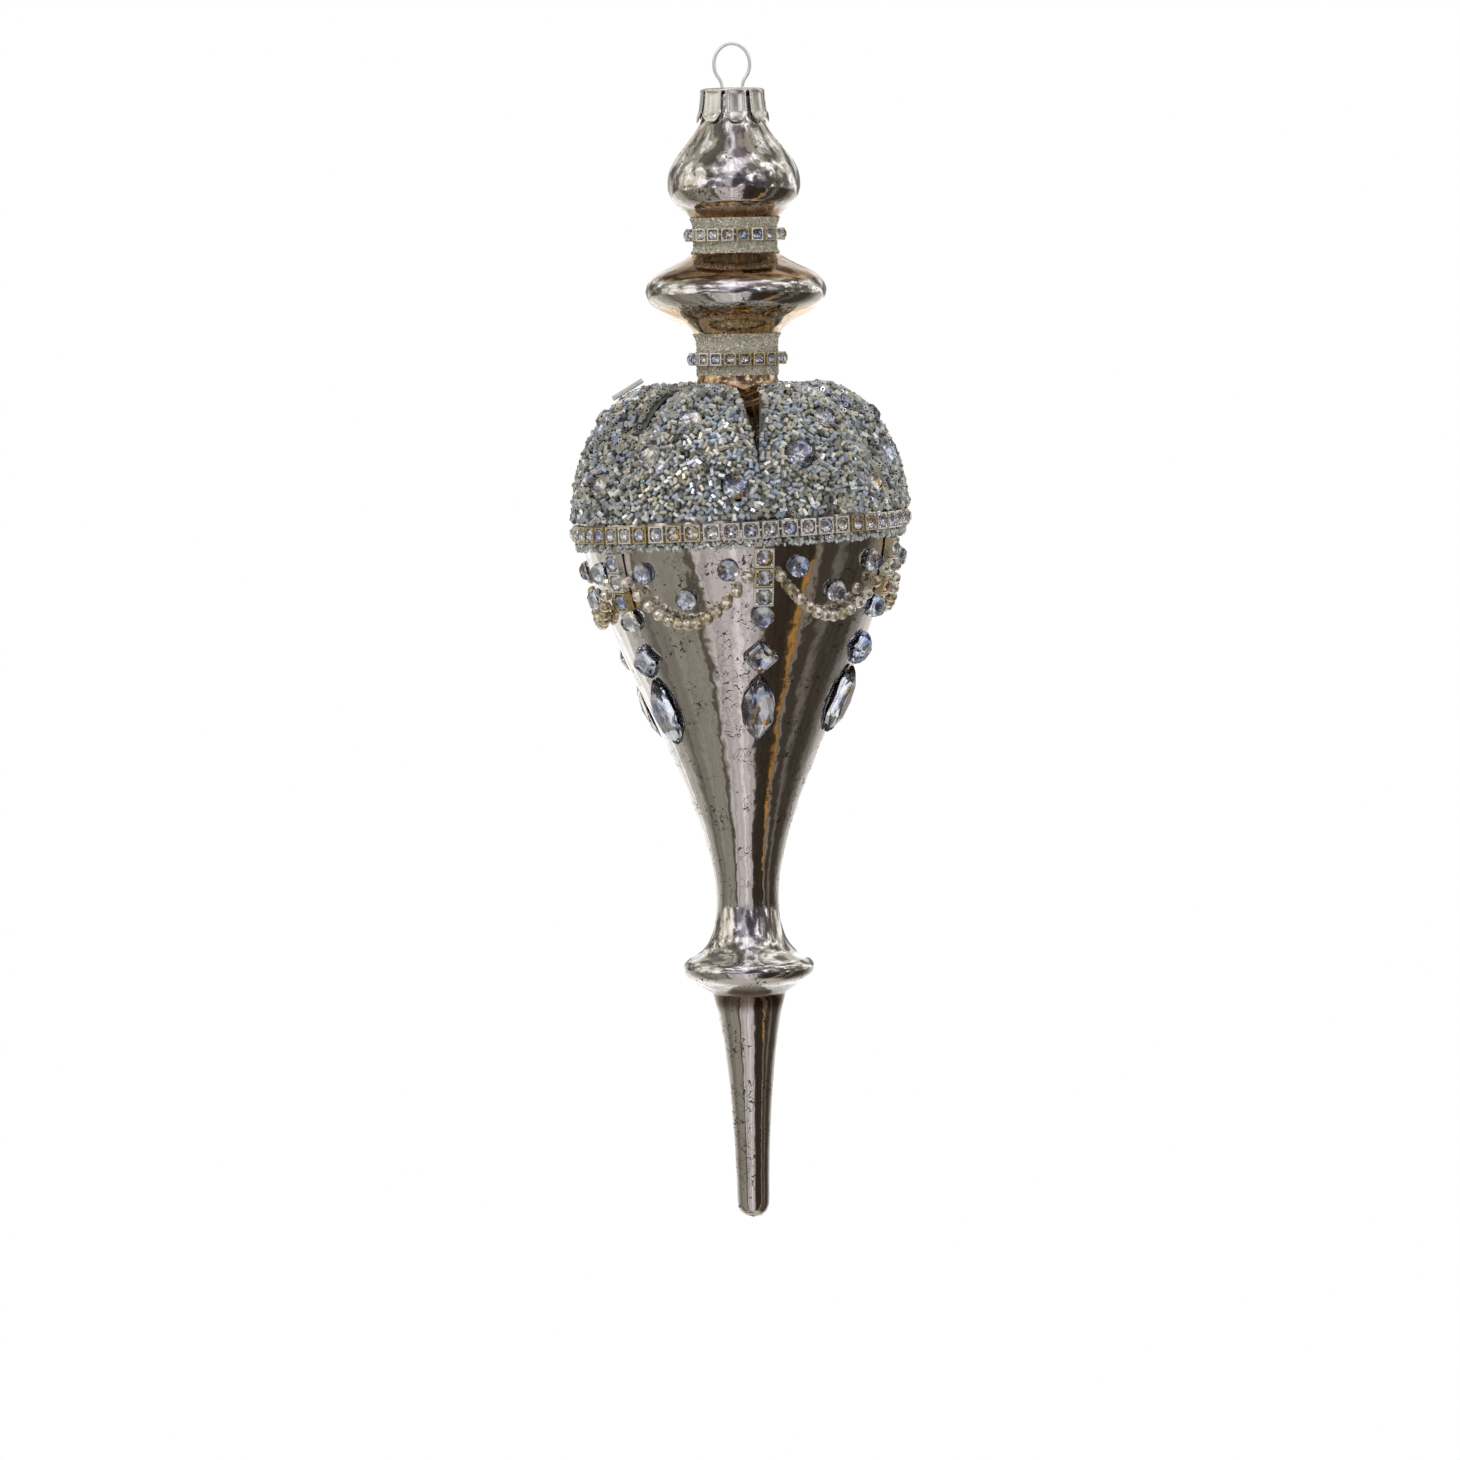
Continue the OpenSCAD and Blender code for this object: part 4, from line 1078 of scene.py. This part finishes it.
patterns = [strewPattern(seed) for seed in (301, 302, 303)]
for i in lobeNumbers:
    spots = patterns[i % 3]
    print("beads on lobe", i, len(spots))
    beads = copiesJoined(seedBead, beadPlaces(i, spots), f"beadCoat{i}")
    bed = coatBase(i)
    bed.data.materials.append(beadFinish)
    # The bed's dark tone paints the shade in the gaps between the beads.
    setTone(bed.data, coat["bedAndGapShadeTone"])
    stands(joined([beads, bed], f"beadCoat{i}"), "coat_beads", f"bead_coat_{i}")
stow(seedBead)

# Edging under the belt: small beads strewn on a strip.
print("edging and glitter")
edging = {"beads": 900, "radius": 0.3, "length": 0.75, "bore": 0.13, "inset": 0.15, "lift": 0.42, "seed": 9}
edgingTones = [(0, "#8E8E86"), (0.4, "#BEBFB8"), (0.7, "#D6D7D2"), (0.9, "#C8D0DC"), (1, "#F8F8F4")]


def strewStrip(height, radius, z):
    dice = random.Random(edging["seed"])
    lean = Matrix.Rotation(math.radians(-trim["tilt"]), 4, "Y")
    places = []
    for _ in range(edging["beads"]):
        outward = turned(dice.uniform(0, 360), 1, 0)
        at = outward * radius + Vector((0, 0, dice.uniform(-height, 0)))
        place = placeFrom(at, Vector((0, 0, -1)), outward)
        turn = Matrix.Rotation(dice.uniform(0, 6.28), 4, "Z")
        turn = turn @ Matrix.Rotation(math.radians(dice.uniform(35, 90)), 4, "Y")
        scale = Matrix.Diagonal([dice.uniform(0.8, 1.2)] * 3 + [1])
        places.append((Matrix.Translation((0, 0, mm(z))) @ lean @ place @ turn @ scale, dice.random()))
    return places


fineBead = makeSeedBead("fineBead", mm(edging["radius"]), mm(edging["length"]), mm(edging["bore"]))
fineBead.data.materials.append(tonedMetal("grey glass beads", edgingTones, 0.35, 0.28, 0.6, 0.02))
edgingTop = beltZ - trim["beltCupW"] / 2 - trim["glueGap"] - edging["inset"]
strip = strewStrip(trim["edgingH"] - 2 * edging["inset"], beltR + edging["lift"], edgingTop)
stands(copiesJoined(fineBead, strip, "beltEdging"), "edging_beads", "belt_edging")
stow(fineBead)

# Glitter: crushed glass on a thin sleeve at each waist, as far as the glass stays close to the waist.
glitter = {"grain": 0.27, "sleeve": 0.1, "lift": 0.16, "spread": 0.9, "tone": 0.3, "columns": 48}
glitterTones = [(0, "#ACA693"), (0.35, "#C2BCAA"), (0.65, "#D6D0C1"), (0.85, "#E6E0D3"), (1, "#FFFCF4")]
glitterFinish = tonedMetal("glass glitter", glitterTones, 0.2, 0.3, 0.5, 0.02)


def upperWaistCurve():
    curve = [bulbFall(0.52 + i / 20) for i in range(10)]
    curve += [(upperR, upperWaistZ - i * glass["upperWaistL"] / 4) for i in range(5)]
    curve += [discRise(i / 20) for i in range(1, 8)]
    return [p for p in curve if p[0] < upperR + glitter["spread"]]


def lowerWaistCurve():
    curve = [discFall(0.7 + i / 20) for i in range(6)]
    curve += [(lowerR, lowerWaistZ - i * glass["lowerWaistL"] / 6) for i in range(7)]
    return [p for p in curve if p[0] < lowerR + glitter["spread"]]


def anyTurn(dice):
    return Matrix.Rotation(dice.uniform(0, 6.28), 4, Vector([dice.random() for _ in range(3)]))


def glitterBand(curve, count, seed, name, node):
    # A thin sleeve spun from the waist's outline, strewn with crushed grains.
    offset = []
    for i, p in enumerate(curve):
        a, b = curve[max(i - 1, 0)], curve[min(i + 1, len(curve) - 1)]
        offset.append((p, Vector((a[1] - b[1], b[0] - a[0])).normalized()))
    last, height = offset[0][0][0] + glitter["sleeve"], offset[0][0][1]
    deselectAll()
    bpy.ops.mesh.primitive_circle_add(vertices=glitter["columns"], radius=mm(last),
                                      location=(0, 0, mm(height)))
    sleeve = settle(bpy.context.object, name)
    editMesh(sleeve, "SELECT")
    for p, normal in offset[1:]:
        r, z = p[0] + glitter["sleeve"] * normal.x, p[1] + glitter["sleeve"] * normal.y
        bpy.ops.mesh.extrude_region_move(TRANSFORM_OT_translate={"value": (0, 0, mm(z - height))})
        bpy.ops.transform.resize(value=(r / last, r / last, 1), center_override=(0, 0, mm(z)))
        last, height = r, z
    objectMode()
    tidyNormals(sleeve)
    sleeve.data.materials.append(glitterFinish)
    setTone(sleeve.data, glitter["tone"])
    dice = random.Random(seed)
    deselectAll()
    bpy.ops.mesh.primitive_ico_sphere_add(subdivisions=1, radius=mm(glitter["grain"]))
    grain = settle(bpy.context.object, "grain")
    grain.data.materials.append(glitterFinish)
    places = []
    for _ in range(count):
        k = dice.uniform(0, len(curve) - 1.001)
        a, normal = offset[int(k)]
        b = offset[int(k) + 1][0]
        t = k - int(k)
        r, z = a[0] + t * (b[0] - a[0]), a[1] + t * (b[1] - a[1])
        azimuth = dice.uniform(0, 360)
        outward = turned(azimuth, normal.x, normal.y)
        down = Vector((0, 0, -1)) if abs(normal.x) > 0.3 else outward.orthogonal()
        place = placeFrom(turned(azimuth, r, z) + outward * glitter["lift"], down, outward)
        turn = anyTurn(dice)
        scale = Matrix.Diagonal((dice.uniform(0.7, 1.1), dice.uniform(0.7, 1.1), dice.uniform(0.4, 0.9), 1))
        places.append((place @ turn @ scale, dice.random()))
    grains = copiesJoined(grain, places, "grains")
    stow(grain)
    stands(joined([grains, sleeve], name), "waist_glitter", node)


glitterBand(upperWaistCurve(), 2000, 11, "upperGlitter", "upper_glitter_band")
glitterBand(lowerWaistCurve(), 1900, 12, "lowerGlitter", "lower_glitter_band")

# Swags: strings of faceted metal balls between the posts.
print("swags")
swagTones = [(0, "#CDBE98"), (0.5, "#E4DAC4"), (1, "#F6F1E6")]
swagFinish = tonedMetal("champagne plated beads", swagTones, 0.9, 0.22, 0.8, 0.02)
swagClear = trim["postCupW"] / 2 + trim["swagBeadD"] / 2 + 3 * trim["glueGap"]
swagReach = halfLobe - math.degrees(math.asin(swagClear / bodyR))
deselectAll()
bpy.ops.mesh.primitive_uv_sphere_add(segments=10, ring_count=7, radius=mm(trim["swagBeadD"] / 2))
swagBall = settle(bpy.context.object, "swagBall")
swagBall.data.materials.append(swagFinish)
for i in lobeNumbers:
    dice = random.Random(400 + i)
    places = []
    for k in range(trim["swagBeads"]):
        x = 2 * k / (trim["swagBeads"] - 1) - 1
        azimuth = lobeAzimuth(i) + x * swagReach
        z = beltZ - trim["swagEndDrop"] - trim["swagSag"] * (1 - x * x) + trimRise(azimuth)
        place = skinPlace(azimuth, z, trim["swagBeadD"] / 2 + trim["glueGap"])
        places.append((place @ anyTurn(dice), dice.random()))
    stands(copiesJoined(swagBall, places, f"swag{i}"), "swag_beads", f"swag_{i}")
stow(swagBall)

# Studio: a pale floor well below, a white surround, and a lit tent that only reflections see.
print("studio")
studio = {"floorZ": -1.5, "floorSize": 30, "floorShare": 0.75, "fade": (2.5, 5), "tentR": 1.0,
          "tentZ": -0.12, "lift": 1.18, "aimZ": -0.12}


def seenRays(material):
    # 1 for what the camera, a reflection or a stone sees, and 0 for light that falls on things.
    path = addNode(material, "LightPath")
    seen = path.outputs["Is Camera Ray"]
    for ray in ("Is Glossy Ray", "Is Transmission Ray"):
        seen = addNode(material, "Math", {"operation": "MAXIMUM"}, {0: seen, 1: path.outputs[ray]})
    return seen


deselectAll()
bpy.ops.mesh.primitive_plane_add(size=studio["floorSize"], location=(0, 0, studio["floorZ"]))
floor = settle(bpy.context.object, "floor")
floorPaper, paper = newMaterial("white paper sweep", Base_Color=srgb("#F4F4F2"), Roughness=0.9)
# White to the camera and in reflections, with some of the lit surface left near by for shadows.
place = addNode(floorPaper, "TexCoord").outputs["Object"]
away = addNode(floorPaper, "VectorMath", {"operation": "LENGTH"}, {0: place})
far = addNode(floorPaper, "MapRange", {"From Min": studio["fade"][0], "From Max": studio["fade"][1],
                                       "To Min": studio["floorShare"], "To Max": 1.0}, {"Value": away})
part = addNode(floorPaper, "Math", {"operation": "MULTIPLY"}, {0: seenRays(floorPaper), 1: far})
white = addNode(floorPaper, "Emission", {"Color": (1, 1, 1, 1), "Strength": 1.0})
mix = addNode(floorPaper, "MixShader", links={0: part, 1: paper, 2: white})
linkInputs(floorPaper, floorPaper.node_tree.nodes["Material Output"], {"Surface": mix})
floor.data.materials.append(floorPaper)

# The tent: what the mirror glass shows, by direction round the ornament and by height. Each band
# gives its colours by degrees round from the front: low from below, high from overhead.
bands = {
    "low": [(-180, "#FFFFFF"), (-152, "#F6F4F0"), (-130, "#C8C5BF"), (-112, "#8E8A80"), (-94, "#68645A"),
            (-76, "#7E7A70"), (-46, "#8C887C"), (-43, "#4C463C"), (-38, "#524C42"), (-34, "#AAA3A0"),
            (-20, "#B8B1AF"), (0, "#BEB7B7"), (16, "#B2ABA9"), (19, "#4A443C"), (24, "#2E2720"),
            (56, "#332B23"), (60, "#82796E"), (64, "#352F28"), (76, "#403A33"), (82, "#797268"),
            (88, "#352F28"), (112, "#423C34"), (132, "#9A9690"), (150, "#DAD8D4"), (166, "#FFFFFF")],
    "middle": [(-180, "#FFFFFF"), (-150, "#D8D4CC"), (-134, "#7A7568"), (-118, "#A29E92"), (-100, "#C8C2B2"),
               (-70, "#DCD4C4"), (-52, "#C8C0B4"), (-44, "#5A5258"), (-24, "#8A8690"), (-8, "#B4B0BA"),
               (4, "#5C5864"), (30, "#4E4852"), (50, "#6C6468"), (66, "#5A524E"), (80, "#8C867C"),
               (96, "#B4B0A2"), (122, "#BCB8AC"), (136, "#8A867A"), (150, "#D0CEC8"), (166, "#FFFFFF")],
    "high": [(-180, "#C8C4BA"), (-140, "#B4B0A4"), (-112, "#8E8A7A"), (-74, "#A8A496"), (-50, "#8A827A"),
             (-34, "#A89EA2"), (-20, "#DCD4DA"), (10, "#DCD6E0"), (34, "#C8C0C2"), (60, "#8A8076"),
             (90, "#A6A294"), (120, "#A6A294"), (150, "#C0BCB2")],
}
deselectAll()
bpy.ops.mesh.primitive_uv_sphere_add(segments=64, ring_count=32, radius=studio["tentR"],
                                     location=(0, 0, studio["tentZ"]))
tent = bpy.context.object
tent.name = "tent"
tentCloth = bpy.data.materials.new("lit tent")
tentCloth.use_nodes = True
tentCloth.node_tree.nodes.remove(tentCloth.node_tree.nodes["Principled BSDF"])


def around(degrees):
    return 0.5 + degrees / 360


def lightTent(material):
    place = addNode(material, "TexCoord").outputs["Object"]
    toward = addNode(material, "VectorMath", {"operation": "NORMALIZE"}, {0: place})
    xyz = addNode(material, "SeparateXYZ", links={0: toward})
    height = xyz.outputs["Z"]
    back = addNode(material, "Math", {"operation": "MULTIPLY", 1: -1.0}, {0: xyz.outputs["Y"]})
    angle = addNode(material, "Math", {"operation": "ARCTAN2"}, {0: xyz.outputs["X"], 1: back})
    turn = addNode(material, "Math", {"operation": "MULTIPLY_ADD", 1: 1 / (2 * math.pi), 2: 0.5}, {0: angle})
    # The bands' edges are ragged.
    ragged = addNode(material, "TexNoise", {"Scale": 7.0, "Detail": 5.0, "Roughness": 0.65},
                     {"Vector": toward})
    sway = addNode(material, "MapRange", {"To Min": -0.03, "To Max": 0.03}, {"Value": ragged})
    turn = addNode(material, "Math", {"operation": "ADD"}, {0: turn, 1: sway})
    ramps = []
    for stops in bands.values():
        ramp = addNode(material, "ValToRGB", links={"Fac": turn})
        ramps.append(rampStops(ramp, [(around(degrees), code) for degrees, code in stops]))
    low, middle, high = ramps
    # The heights over which the middle band comes in, then the high one, then the grey straight down.
    steps = []
    for start, end in ((-0.12, -0.02), (0.42, 0.58), (-0.8, -0.95)):
        steps.append(addNode(material, "MapRange", {"interpolation_type": "SMOOTHSTEP", "From Min": start,
                                                    "From Max": end}, {"Value": height}))
    rise, top, pole = steps
    colour = addNode(material, "Mix", {"data_type": "RGBA"}, {0: rise, 6: low, 7: middle})
    colour = addNode(material, "Mix", {"data_type": "RGBA"}, {0: top, 6: colour, 7: high})
    # Dark blotches and pale ones, at eye level and above.
    blot = addNode(material, "TexNoise", {"Scale": 3.4, "Detail": 3.0}, {"Vector": toward})
    dark = addNode(material, "MapRange", {"From Min": 0.52, "From Max": 0.57, "To Max": 0.78},
                   {"Value": blot})
    pale = addNode(material, "MapRange", {"From Min": 0.44, "From Max": 0.38}, {"Value": blot})
    # A strip of amber light low at the right, broken up.
    strip = addNode(material, "Math", {"operation": "COMPARE", 1: around(54), 2: 0.008}, {0: turn})
    breaks = addNode(material, "MapRange", {"From Min": 0.44, "From Max": 0.5}, {"Value": ragged})
    amber = addNode(material, "Math", {"operation": "MULTIPLY"}, {0: strip, 1: breaks})
    below = addNode(material, "MapRange", {"From Min": -0.34, "From Max": -0.46, "To Max": 0.9},
                    {"Value": height})
    for share, where, code in ((dark, rise, "#3B3537"), (pale, rise, "#FFFFFF"), (amber, below, "#A67A38")):
        share = addNode(material, "Math", {"operation": "MULTIPLY"}, {0: share, 1: where})
        colour = addNode(material, "Mix", {"data_type": "RGBA", 7: srgb(code)}, {0: share, 6: colour})
    # Straight down the bands run into one plain grey.
    colour = addNode(material, "Mix", {"data_type": "RGBA", 7: srgb("#ADA9A0")}, {0: pole, 6: colour})
    # Streaks of light that run from top to bottom.
    streakPlace = addNode(material, "CombineXYZ", links={0: turn})
    streak = addNode(material, "TexNoise", {"Scale": 46.0, "Detail": 3.0}, {"Vector": streakPlace})
    line = addNode(material, "MapRange", {"From Min": 0.4, "From Max": 0.66, "To Min": 0.75, "To Max": 1.5},
                   {"Value": streak})
    strength = addNode(material, "Math", {"operation": "MULTIPLY", 1: studio["lift"]}, {0: line})
    glow = addNode(material, "Emission", links={"Color": colour, "Strength": strength})
    linkInputs(material, material.node_tree.nodes["Material Output"], {"Surface": glow})


lightTent(tentCloth)
tent.data.materials.append(tentCloth)
tent.visible_camera = False
tent.visible_diffuse = False
tent.visible_shadow = False

world = bpy.data.worlds.new("studio")
scene.world = world
world.use_nodes = True
sky = world.node_tree.nodes["Background"]
sky.inputs["Color"].default_value = (1, 1, 1, 1)
level = addNode(world, "MapRange", {"To Min": 0.7, "To Max": 1.0}, {"Value": seenRays(world)})
linkInputs(world, sky, {"Strength": level})

# Each lamp's place, size and power.
lamps = {"key": ((-0.7, -0.9, 0.8), 0.3, 5.0), "fill": ((0.9, -0.8, 0.2), 0.25, 2.0),
         "top": ((0.1, 0.2, 1.1), 0.4, 4.0)}
for name, (spot, size, power) in lamps.items():
    data = bpy.data.lights.new(name, "AREA")
    data.size = size
    data.energy = power
    lamp = bpy.data.objects.new(name, data)
    scene.collection.objects.link(lamp)
    lamp.location = spot
    lamp.rotation_mode = "QUATERNION"
    lamp.rotation_quaternion = (Vector((0, 0, studio["aimZ"])) - Vector(spot)).to_track_quat("-Z", "Y")

scene.view_settings.view_transform = "Standard"
